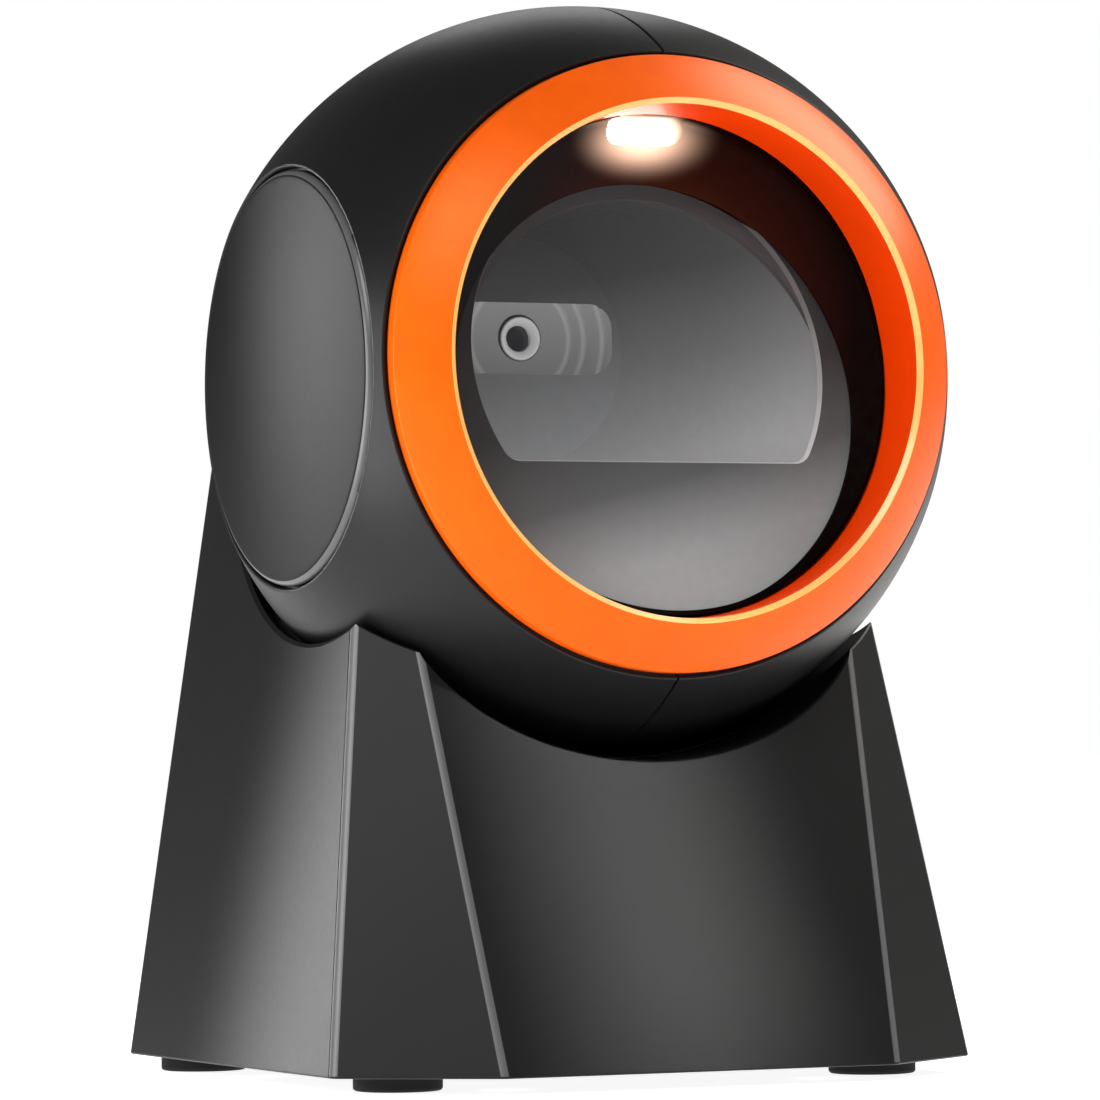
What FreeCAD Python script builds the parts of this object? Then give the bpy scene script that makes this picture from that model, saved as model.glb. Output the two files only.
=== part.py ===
import FreeCAD, Part
import Sketcher
import math
import os
import re

from FreeCAD import Placement, Rotation, Vector

# Ball-headed presentation scanner, millimetres, +Z up.
# The base body is drawn in the part frame: origin on the table under the middle of the
# bounding box, the scan window facing -Y.
# The head body is drawn about the centre of the ball, untilted, then placed by HEAD.

SIZES = {
    # ball head
    "ball_radius": 52.8,
    "ball_wall": 2.4,
    "ball_height": 97.2,
    "ball_forward": 7.45,
    "rest_tilt": 1.8,
    "half_seam": 0.12,
    "tilt_up": 18,
    "tilt_down": 12,
    # cheeks: the flat sides with a round cover
    "cheek_radius": 29.0,
    "cheek_ledge_in": 40.4,
    "cheek_ledge_out": 42.4,
    "cheek_floor_in": 36.9,
    "cheek_floor_out": 38.9,
    "cheek_well": 13,
    "cover_radius": 28.65,
    "cover_edge": 44.5,
    "cover_crown": 45.1,
    "cover_round": 1.1,
    # orange bezel ring and the mouth of the head
    "mouth_radius": 42.5,
    "ring_radius": 42.2,
    "ring_edge_depth": 32.2,
    "ring_crest_radius": 35.7,
    "ring_crest_depth": 37.1,
    "ring_face_curve": 34,
    "ring_bore_front": 35.0,
    "ring_bore_front_depth": 36.5,
    "ring_bore_back": 34.6,
    "ring_step_depth": 30.2,
    "ring_step_radius": 38.8,
    "ring_back_depth": 27.4,
    "rib_front_depth": 25.4,
    "rib_back_depth": 23.4,
    "rib_radius": 36.2,
    # hood: dark funnel between the ring and the tilted scan window
    "hood_bore": 34.55,
    "hood_nose": 34.5,
    "hood_land": 0.6,
    "hood_barrel": 35.9,
    "hood_screw_radius": 1.0,
    "hood_screw_play": 0.15,
    "hood_screw_proud": 3,
    "hood_lip_depth": 28.2,
    "hood_lip_lean": 6,
    "window_depth": 25.45,
    "window_lean": 10,
    "window_open_radius": 30.2,
    "window_open_drop": 4.2,
    "window_radius": 30.6,
    "window_drop": 3.9,
    "window_thick": 1.2,
    "seat_play": 0.05,
    # mask with the D shaped opening, behind the window
    "mask_thick": 0.8,
    "mask_open_radius": 26.4,
    "mask_open_rise": 1.3,
    "mask_open_floor": 12.8,
    "mask_corner": 2.6,
    "gasket_bore": 28.4,
    "gasket_thick": 1.0,
    # chamber behind the mask
    "chamber_wall": 1.4,
    "chamber_mouth": 28.4,
    "chamber_waist": 23.5,
    "chamber_waist_rise": 0.5,
    "chamber_rear": 16.5,
    "chamber_rear_rise": 6.0,
    "chamber_rear_depth": 18.0,
    # camera engine
    "engine_rise": 7.9,
    "engine_face_width": 29.5,
    "engine_face_height": 10.2,
    "engine_face_corner": 3.6,
    "engine_face_depth": 17.2,
    "engine_face_thick": 2.2,
    "engine_width": 26,
    "engine_height": 9.6,
    "engine_length": 9.6,
    "lens_hole": 3.4,
    "lens_barrel_radius": 3.35,
    "lens_iris": 1.8,
    "ridge_one": 8.0,
    "ridge_two": 10.4,
    "ridge_three": 13.4,
    "ridge_width": 0.5,
    "ridge_depth": 0.35,
    # boards in the head
    "sensor_board_thick": 1.2,
    "board_depth": 36.5,
    "board_thick": 1.6,
    "board_width": 48,
    "board_height": 36,
    "board_screw_half": 14,
    "board_screw_low": -7,
    "board_screw_high": 19,
    "board_screw_hole": 1.1,
    "board_screw_radius": 0.8,
    "board_screw_grip": 6,
    "board_screw_head": 1.9,
    "board_screw_head_thick": 1.2,
    "post_radius": 2.2,
    # lamp at the top of the hood
    "lamp_width": 11.6,
    "lamp_low": 30.8,
    "lamp_high": 34.6,
    "lamp_face_depth": 20.6,
    "lamp_thick": 1.8,
    "lamp_wall": 1.4,
    # pivots and yoke
    "pivot_radius": 3.0,
    "pivot_fit": 0.05,
    "pivot_thread": 2.0,
    "pivot_head_radius": 5.0,
    "pivot_head_thick": 1.6,
    "washer_radius": 7.0,
    "yoke_outer": 36.0,
    "yoke_thick": 2.5,
    "yoke_arm_width": 12,
    "yoke_screw_half": 26,
    "yoke_lean": 27,
    "yoke_foot_height": 14,
    "yoke_foot_thick": 2.5,
    "slot_play": 0.5,
    "harness_room": 3.4,
    # base, outer corners at the bottom edge and where the edges would meet
    "base_floor": 2.2,
    "base_top": 90,
    "base_front": 46.15,
    "crease_half": 29.7,
    "corner_half": 48.8,
    "corner_front": 32.15,
    "back_half": 47.0,
    "base_back": 46.15,
    "meet_height": 97,
    "meet_half": 35.3,
    "meet_front": 14.85,
    "meet_back_half": 34.0,
    "meet_back": 41.05,
    "base_wall": 2.4,
    "saddle_gap": 1.2,
    "saddle_wall": 2.0,
    "relief_height": 69.2,
    "relief_half": 36,
    "relief_drop": 25,
    "relief_back": 19.45,
    "seam_behind_corner": 1.0,
    "seam_width": 0.2,
    "boss_radius": 3.2,
    "boss_height": 12,
    "boss_rib": 2,
    "boss_reach": 20,
    "boss_drill": 1.2,
    "boss_drill_top": 13.2,
    # bottom plate, feet and ballast
    "plate_inset": 3.5,
    "plate_thick": 2.2,
    "foot_radius": 6.1,
    "foot_sunk": 0.5,
    "foot_front_half": 36.4,
    "foot_front": 26.15,
    "foot_back_half": 38.5,
    "foot_back": 37.3,
    "ballast_width": 62,
    "ballast_length": 39.5,
    "ballast_thick": 6,
    "ballast_front": 30,
    # interface board, jack and buzzer
    "iface_width": 34,
    "iface_length": 30,
    "iface_height": 8.4,
    "iface_thick": 1.6,
    "iface_back": 41.0,
    "jack_width": 15.6,
    "jack_height": 13.2,
    "jack_length": 17,
    "jack_open_width": 11.8,
    "jack_open_height": 7.0,
    "jack_open_length": 13,
    "jack_face": 44.9,
    "buzzer_radius": 6,
    "buzzer_height": 5.5,
    "wire_radius": 1.1,
}

DOC = FreeCAD.newDocument("presentation_scanner")
SHEET = DOC.addObject("Spreadsheet::Sheet", "Sizes")
for row, (alias, value) in enumerate(SIZES.items(), start=1):
    SHEET.set("A%d" % row, alias)
    SHEET.set("B%d" % row, str(value))
    SHEET.setAlias("B%d" % row, alias)
DOC.recompute()

SUBPARTS = {}


# ---------------------------------------------------------------- expressions

def bound(text):
    """An expression on the sheet's aliases, as FreeCAD wants it written."""
    def full(match):
        word = match.group(0)
        return "Sizes." + word if word in SIZES else word
    return re.sub(r"[a-z_][a-z0-9_]*", full, str(text))


def size(text):
    """The number that an expression on the sheet's aliases gives now."""
    value = SHEET.evalExpression(bound(text))
    return float(getattr(value, "Value", value))


def bind(thing, name, text):
    thing.setExpression(name, bound(text))


# ------------------------------------------------------------------ placement

HEAD = Placement(
    Vector(0, -size("ball_forward"), size("ball_height")),
    Rotation(Vector(-1, 0, 0), size("rest_tilt")),
)
WINDOW_LOCAL = Placement(
    Vector(0, -size("window_depth"), 0),
    Rotation(Vector(-1, 0, 0), size("window_lean")),
)
WINDOW = HEAD.multiply(WINDOW_LOCAL)
ALONG_X = Rotation(Vector(0, 1, 0), 90)
ALONG_MINUS_Y = Rotation(Vector(1, 0, 0), 90)
ALONG_PLUS_Y = Rotation(Vector(1, 0, 0), -90)
UPRIGHT = Rotation()


def keep(thing, label, place=None):
    """Name a finished sub-part and put it where it belongs."""
    thing.Label = label
    if place is not None:
        thing.Placement = place
    SUBPARTS[label] = thing
    return thing


# ------------------------------------------------------- part primitives

def solid(kind, name, at=(0, 0, 0), turn=UPRIGHT, **sizes):
    """A primitive whose sizes and place are bound to the sheet."""
    thing = DOC.addObject(kind, name)
    thing.Placement = Placement(Vector(*[size(value) for value in at]), turn)
    for axis, value in zip("xyz", at):
        bind(thing, "Placement.Base." + axis, value)
    for name_of_size, text in sizes.items():
        bind(thing, name_of_size, text)
    return thing


def ball(name, radius):
    return solid("Part::Sphere", name, Radius=radius)


def rod(name, radius, length, at=(0, 0, 0), turn=UPRIGHT):
    return solid("Part::Cylinder", name, at, turn, Radius=radius, Height=length)


def block(name, wide, long, tall, at):
    """A box centred on X and standing on its lowest Y and Z."""
    corner = ("%s - (%s) / 2" % (at[0], wide), at[1], at[2])
    return solid("Part::Box", name, corner, Length=wide, Width=long, Height=tall)


def joined(name, *things):
    whole = DOC.addObject("Part::MultiFuse", name)
    whole.Shapes = list(things)
    whole.Refine = True
    return whole


def grouped(name, *things):
    whole = DOC.addObject("Part::Compound", name)
    whole.Links = list(things)
    return whole


def shared(name, first, second):
    whole = DOC.addObject("Part::Common", name)
    whole.Base = first
    whole.Tool = second
    return whole


def cut(name, stock, *tools):
    """Stock less every tool, one after the other."""
    for tool in tools:
        whole = DOC.addObject("Part::Cut", name)
        whole.Base = stock
        whole.Tool = tool
        stock = whole
    whole.Refine = True
    return whole


def mirrored(name, source):
    other = DOC.addObject("Part::Mirroring", name)
    other.Source = source
    other.Normal = Vector(1, 0, 0)
    return other


# ------------------------------------------------- part design bodies

def new_body(name):
    return DOC.addObject("PartDesign::Body", name + "_body")


def new_sketch(body, name, role, lift="0"):
    """A sketch on one of the body's own origin planes, lifted along its normal."""
    sketch = body.newObject("Sketcher::SketchObject", name)
    plane = [item for item in body.Origin.OriginFeatures if item.Role == role][0]
    sketch.AttachmentSupport = [(plane, "")]
    sketch.MapMode = "FlatFace"
    bind(sketch, "AttachmentOffset.Base.z", lift)
    return sketch


def pin_point(sketch, geometry, point, across, up):
    """Hold one point of the sketch at two expressions measured from its origin."""
    for kind, text in (("DistanceX", across), ("DistanceY", up)):
        index = sketch.addConstraint(
            Sketcher.Constraint(kind, -1, 1, geometry, point, size(text))
        )
        bind(sketch, "Constraints[%d]" % index, text)


def arc_between(start, end, radius, bulge):
    """The short arc from start to end; bulge 1 turns left of the chord, -1 right."""
    chord = end - start
    reach = math.sqrt(radius ** 2 - (chord.Length / 2) ** 2)
    side = Vector(-chord.y, chord.x, 0).normalize() * bulge
    middle = (start + end) * 0.5 + side * (radius - reach)
    return Part.Arc(start, middle, end)


def outline(sketch, corners):
    """A closed outline. A corner is (across, up) or (across, up, radius, bulge) when the
    edge that leaves it is an arc."""
    points = [Vector(size(item[0]), size(item[1]), 0) for item in corners]
    ends = []
    for number, item in enumerate(corners):
        start = points[number]
        end = points[(number + 1) % len(points)]
        if len(item) == 2:
            edge = sketch.addGeometry(Part.LineSegment(start, end))
            ends.append((edge, 1, 2))
            continue
        edge = sketch.addGeometry(arc_between(start, end, size(item[2]), item[3]))
        forward = sketch.Geometry[edge].StartPoint.distanceToPoint(start) < 1e-6
        ends.append((edge, 1, 2) if forward else (edge, 2, 1))
    for number, item in enumerate(corners):
        edge, start_end, finish_end = ends[number]
        following = ends[(number + 1) % len(ends)]
        sketch.addConstraint(
            Sketcher.Constraint("Coincident", edge, finish_end, following[0], following[1])
        )
        pin_point(sketch, edge, start_end, item[0], item[1])
        if len(item) == 4:
            index = sketch.addConstraint(Sketcher.Constraint("Radius", edge, size(item[2])))
            bind(sketch, "Constraints[%d]" % index, item[2])
    return sketch


def circle(sketch, across, up, radius):
    centre = Vector(size(across), size(up), 0)
    edge = sketch.addGeometry(Part.Circle(centre, Vector(0, 0, 1), size(radius)))
    pin_point(sketch, edge, 3, across, up)
    index = sketch.addConstraint(Sketcher.Constraint("Radius", edge, size(radius)))
    bind(sketch, "Constraints[%d]" % index, radius)
    return sketch


def rectangle(sketch, left, right, low, high):
    return outline(sketch, [(left, low), (right, low), (right, high), (left, high)])


def grow(body, kind, sketch, name, length, backwards=False, midplane=False):
    """A Pad or a Pocket of a sketch; a pocket has to take material away."""
    before = body.Shape.Volume if kind == "PartDesign::Pocket" else 0
    feature = body.newObject(kind, name)
    feature.Profile = sketch
    bind(feature, "Length", length)
    feature.Reversed = backwards
    feature.Midplane = midplane
    DOC.recompute()
    if kind == "PartDesign::Pocket" and not body.Shape.Volume < before - 1e-6:
        raise RuntimeError(name + " takes nothing away")
    return feature


def pad(body, sketch, name, length, backwards=False, midplane=False):
    return grow(body, "PartDesign::Pad", sketch, name, length, backwards, midplane)


def pocket(body, sketch, name, length, backwards=False, midplane=False):
    return grow(body, "PartDesign::Pocket", sketch, name, length, backwards, midplane)


def spin(body, sketch, name, axis):
    """A full revolution about one of the sketch's own axes."""
    feature = body.newObject("PartDesign::Revolution", name)
    feature.Profile = sketch
    feature.ReferenceAxis = (sketch, [axis])
    feature.Angle = 360
    DOC.recompute()
    return feature


def round_edges(body, name, radius, wanted, kind="PartDesign::Fillet"):
    """Round or bevel the edges of the body's last feature that the test accepts."""
    base = body.Tip
    edges = base.Shape.Edges
    names = ["Edge%d" % (number + 1) for number, edge in enumerate(edges) if wanted(edge)]
    if not names:
        raise RuntimeError(name + " finds no edge")
    feature = body.newObject(kind, name)
    feature.Base = (base, names)
    bind(feature, "Radius" if kind == "PartDesign::Fillet" else "Size", radius)
    DOC.recompute()
    return feature


def loft(name, sections, ruled):
    """A solid through closed sketches that stand in the document, outside any body."""
    feature = DOC.addObject("Part::Loft", name)
    feature.Sections = sections
    feature.Solid = True
    feature.Ruled = ruled
    return feature


def loose_sketch(name, place):
    sketch = DOC.addObject("Sketcher::SketchObject", name)
    sketch.Placement = place
    return sketch


# ------------------------------------------------------------ head shells

def slot_sector(name, low, high):
    """The sector, about the X axis, that the right yoke arm and harness need in the ball."""
    start = "yoke_outer - yoke_thick - harness_room"
    length = "yoke_thick + harness_room + 2 * slot_play"
    inner = rod(name + "_core", "ball_radius - 24", length, (start, "0", "0"), ALONG_X)
    sweep = size(high) - size(low)
    turn = Rotation(Vector(1, 0, 0), size(low)).multiply(ALONG_X)
    sector = solid("Part::Cylinder", name + "_sweep", (start, "0", "0"), turn,
                   Radius="ball_radius + 5", Height=length)
    sector.Angle = sweep
    return cut(name, sector, inner)


def make_head_shells():
    room = block("ball_room_slab", "2 * cheek_ledge_in", "200", "200", ("0", "-100", "-100"))
    room_ball = ball("ball_room_ball", "ball_radius - ball_wall")
    well = rod("cheek_boss", "cheek_well + 2", "20", ("cheek_floor_in", "0", "0"), ALONG_X)
    room_shape = cut("ball_room", shared("ball_room_cut", room_ball, room), well)
    recess = rod("cheek_recess", "cheek_radius", "20", ("cheek_ledge_out", "0", "0"), ALONG_X)
    cheek = joined("cheek_hollows", recess, rod(
        "cheek_well_rod", "cheek_well", "20", ("cheek_floor_out", "0", "0"), ALONG_X))
    pivot = rod("cheek_pivot", "pivot_radius + pivot_fit", "20", ("30", "0", "0"), ALONG_X)
    wide_mouth = rod("head_mouth", "mouth_radius", "40", ("0", "-ring_step_depth + 0.2", "0"),
                     ALONG_MINUS_Y)
    mouth = joined("head_mouths", wide_mouth, rod(
        "head_throat", "ring_step_radius + 0.3", "40", ("0", "-rib_front_depth", "0"),
        ALONG_MINUS_Y))
    slot = slot_sector("arm_slot",
                       "yoke_lean + rest_tilt - 10.5 - tilt_down",
                       "yoke_lean + rest_tilt + 10.5 + tilt_up")
    hollow = cut("ball_hollow", ball("ball_skin", "ball_radius"), room_shape, cheek, pivot,
                 mouth, slot)
    rib_disc = rod("rib_disc", "ball_radius", "ring_step_depth - 0.2 - rib_back_depth",
                   ("0", "-rib_back_depth", "0"), ALONG_MINUS_Y)
    rib_hole = rod("rib_hole", "rib_radius", "20", ("0", "-rib_back_depth + 5", "0"),
                   ALONG_MINUS_Y)
    rib_room = ball("rib_room", "ball_radius - ball_wall / 2")
    throat = rod("rib_throat", "ring_step_radius + 0.3", "40", ("0", "-rib_front_depth", "0"),
                 ALONG_MINUS_Y)
    rib = cut("mouth_rib", shared("rib_in_ball", rib_disc, rib_room), rib_hole, throat, cheek,
              *hood_screw_shafts("rib", "hood_screw_radius"))
    whole = joined("ball_with_rib", hollow, rib)
    half = block("right_half", "60", "200", "200", ("30 + half_seam", "-100", "-100"))
    right = shared("right_shell", whole, half)
    keep(right, "head_shell_right", HEAD)
    keep(mirrored("left_shell", right), "head_shell_left")


def hood_screw_places():
    """Across and up of the four screws that hold the hood to the ribs."""
    reach = size("(rib_radius + ring_step_radius) / 2")
    angles = [math.radians(angle) for angle in (38, 142, 218, 322)]
    return [(reach * math.cos(angle), reach * math.sin(angle)) for angle in angles]


def hood_screw_shafts(name, radius):
    shafts = []
    for number, (across, up) in enumerate(hood_screw_places()):
        shafts.append(rod("%s_screw_hole_%d" % (name, number), radius, "30",
                          (str(across), "-rib_back_depth + 10", str(up)), ALONG_MINUS_Y))
    return shafts


def make_side_covers():
    body = new_body("side_cover_right")
    sketch = new_sketch(body, "side_cover_profile", "XY_Plane")
    outline(sketch, [
        ("cheek_ledge_out", "0"),
        ("cover_crown", "0", "520", -1),
        ("cover_edge", "cover_radius - cover_round", "cover_round", -1),
        ("cover_edge - cover_round", "cover_radius"),
        ("cheek_ledge_out", "cover_radius"),
    ])
    spin(body, sketch, "side_cover_spin", "H_Axis")
    keep(body, "side_cover_right", HEAD)
    keep(mirrored("side_cover_left_mirror", body), "side_cover_left")


# ------------------------------------------------- bezel ring, hood, window

def make_bezel_ring():
    body = new_body("bezel_ring")
    sketch = new_sketch(body, "bezel_profile", "YZ_Plane")
    outline(sketch, [
        ("-ring_back_depth", "ring_bore_back"),
        ("-ring_bore_front_depth", "ring_bore_front"),
        ("-ring_crest_depth", "ring_crest_radius", "ring_face_curve", -1),
        ("-ring_edge_depth", "ring_radius"),
        ("-ring_step_depth", "ring_radius"),
        ("-ring_step_depth", "ring_step_radius"),
        ("-ring_back_depth", "ring_step_radius"),
    ])
    spin(body, sketch, "bezel_spin", "H_Axis")
    keep(body, "bezel_ring", HEAD)


def window_circle(name, radius, drop, behind):
    """A circle in the plane of the scan window, a little behind or before it."""
    place = WINDOW_LOCAL.multiply(Placement(Vector(0, size(behind), 0), ALONG_MINUS_Y))
    sketch = loose_sketch(name, place)
    return circle(sketch, "0", "-(" + drop + ")", radius)


def make_window_hood():
    flange = rod("hood_flange", "ring_step_radius", "ring_back_depth - rib_front_depth",
                 ("0", "-rib_front_depth", "0"), ALONG_MINUS_Y)
    barrel = rod("hood_barrel", "hood_barrel", "ring_back_depth - 16", ("0", "-16", "0"),
                 ALONG_MINUS_Y)
    nose = rod("hood_nose", "hood_nose", "8", ("0", "-ring_back_depth + 1", "0"),
               ALONG_MINUS_Y)
    lamp_house = block("lamp_house", "lamp_width + 2 * lamp_wall + 1.2",
                       "rib_front_depth - 13", "8", ("0", "-rib_front_depth",
                                                     "lamp_low - lamp_wall"))
    lamp_limit = rod("lamp_house_limit", "hood_barrel", "20", ("0", "-10", "0"), ALONG_MINUS_Y)
    stock = joined("hood_stock", flange, barrel, nose,
                   shared("lamp_house_round", lamp_house, lamp_limit))
    lip = Placement(Vector(0, -size("hood_lip_depth"), 0),
                    Rotation(Vector(-1, 0, 0), size("hood_lip_lean")))
    ahead = DOC.addObject("Part::Box", "hood_ahead")
    ahead.Length = 120
    ahead.Width = 40
    ahead.Height = 120
    ahead.Placement = lip.multiply(Placement(Vector(-60, -40, -60), UPRIGHT))
    bore = rod("hood_bore_rod", "hood_bore", "30", ("0", "-15", "0"), ALONG_MINUS_Y)
    bore_ahead = shared("hood_bore_ahead", bore, ahead)
    front = loose_sketch("hood_front_circle",
                         lip.multiply(Placement(Vector(), ALONG_MINUS_Y)))
    circle(front, "0", "0", "hood_nose - hood_land")
    rear = window_circle("hood_rear_circle", "window_open_radius", "window_open_drop", "0.02")
    funnel = loft("hood_funnel", [rear, front], True)
    seat = DOC.addObject("Part::Cylinder", "window_seat")
    bind(seat, "Radius", "window_radius + seat_play")
    seat.Height = 20
    seat.Placement = WINDOW_LOCAL.multiply(
        Placement(Vector(0, 0, -size("window_drop")), ALONG_PLUS_Y))
    niche = block("lamp_niche", "lamp_width", "40", "lamp_high - lamp_low",
                  ("0", "-40", "lamp_low"))
    board_room = block("lamp_board_room", "lamp_width + 1.4", "10", "lamp_high - lamp_low",
                       ("0", "-lamp_face_depth + lamp_thick + 1.2", "lamp_low"))
    hood = cut("hood_cut", stock, bore_ahead, funnel, seat, niche, board_room,
               *hood_screw_shafts("hood", "hood_screw_radius + hood_screw_play"))
    keep(hood, "window_hood", HEAD)


def window_disc(name, radius, thick, behind):
    """A disc in the plane of the window; returns the body, ready for an opening."""
    body = new_body(name)
    sketch = new_sketch(body, name + "_rim", "XZ_Plane", "-(" + behind + ")")
    circle(sketch, "0", "-window_drop", radius)
    pad(body, sketch, name + "_disc", thick, backwards=True)
    return body


def make_scan_window():
    body = window_disc("scan_window", "window_radius", "window_thick", "0")
    keep(body, "scan_window", WINDOW)


def make_window_mask():
    body = window_disc("window_mask", "window_radius", "mask_thick", "window_thick")
    sketch = new_sketch(body, "mask_opening", "XZ_Plane", "-window_thick")
    reach = "sqrt(mask_open_radius ^ 2 - (mask_open_floor + mask_open_rise) ^ 2)"
    outline_d(sketch, reach)
    pocket(body, sketch, "mask_cut", "10", backwards=False)
    floor = -size("mask_open_floor")
    radius = size("mask_open_radius")

    def at_corner(edge):
        ends = [vertex.Point for vertex in edge.Vertexes]
        if len(ends) != 2 or abs(ends[0].z - ends[1].z) > 1e-6:
            return False
        inside = Vector(ends[0].x, 0, ends[0].z).Length < radius
        return abs(ends[0].z - floor) < 1e-3 and abs(ends[0].x - ends[1].x) < 1e-6 and inside

    round_edges(body, "mask_corners", "mask_corner", at_corner)
    keep(body, "window_mask", WINDOW)


def outline_d(sketch, reach):
    """A circle cut by a level floor: the long arc over the top, and the floor."""
    floor = size("-mask_open_floor")
    half = size(reach)
    top = Vector(0, size("mask_open_radius + mask_open_rise"), 0)
    arc = sketch.addGeometry(Part.Arc(Vector(half, floor, 0), top, Vector(-half, floor, 0)))
    line = sketch.addGeometry(Part.LineSegment(Vector(-half, floor, 0), Vector(half, floor, 0)))
    sketch.addConstraint(Sketcher.Constraint("Coincident", arc, 2, line, 1))
    sketch.addConstraint(Sketcher.Constraint("Coincident", arc, 1, line, 2))
    pin_point(sketch, line, 1, "-" + reach, "-mask_open_floor")
    pin_point(sketch, line, 2, reach, "-mask_open_floor")
    index = sketch.addConstraint(Sketcher.Constraint("Radius", arc, size("mask_open_radius")))
    bind(sketch, "Constraints[%d]" % index, "mask_open_radius")


def make_window_gasket():
    body = window_disc("window_gasket", "window_radius", "gasket_thick",
                       "window_thick + mask_thick")
    sketch = new_sketch(body, "gasket_bore_circle", "XZ_Plane", "0")
    circle(sketch, "0", "-window_drop", "gasket_bore")
    pocket(body, sketch, "gasket_cut", "10")
    keep(body, "window_gasket", WINDOW)


# ------------------------------------------------------------------ chamber

def chamber_loft(name, extra, mouth_behind, rear_depth):
    """The tapering room behind the window, or its outside when extra is the wall."""
    mouth = window_circle(name + "_mouth", "chamber_mouth + " + extra, "window_drop",
                          mouth_behind)
    sections = [mouth]
    for part_name, radius, rise, depth in (
        ("waist", "chamber_waist", "chamber_waist_rise", "0"),
        ("rear", "chamber_rear", "chamber_rear_rise", "-(" + rear_depth + ")"),
    ):
        place = Placement(Vector(0, -size(depth), 0), ALONG_MINUS_Y)
        sketch = loose_sketch(name + "_" + part_name, place)
        # ALONG_MINUS_Y turns the sketch's own up to +Z
        circle(sketch, "0", rise, radius + " + " + extra)
        sections.append(sketch)
    return loft(name, sections, False)


def make_light_chamber():
    behind = "window_thick + mask_thick + gasket_thick"
    outside = chamber_loft("chamber_outside", "chamber_wall", behind,
                           "chamber_rear_depth + chamber_wall")
    inside = chamber_loft("chamber_inside", "0", behind + " - 0.01", "chamber_rear_depth")
    posts = []
    drills = []
    for side in (-1, 1):
        for rise in ("-7", "19"):
            across = str(side * 14)
            posts.append(rod("board_post", "post_radius",
                             "board_depth - chamber_rear_depth + 4",
                             (across, "board_depth", rise), ALONG_MINUS_Y))
            drills.append(rod("board_post_drill", "0.8", "10",
                              (across, "board_depth + 0.1", rise), ALONG_MINUS_Y))
    stock = joined("chamber_stock", outside, *posts)
    face = block("engine_opening", "engine_face_width", "8", "engine_face_height",
                 ("0", "engine_face_depth - 2", "engine_rise - engine_face_height / 2"))
    corners = DOC.addObject("Part::Fillet", "engine_opening_round")
    corners.Base = face
    DOC.recompute()
    radius = size("engine_face_corner")
    edges = [(number + 1, radius, radius) for number, edge in enumerate(face.Shape.Edges)
             if abs(edge.tangentAt(edge.FirstParameter).y) > 0.99]
    corners.Edges = edges
    chamber = cut("chamber_cut", stock, inside, corners, *drills)
    keep(chamber, "light_chamber", HEAD)


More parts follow.
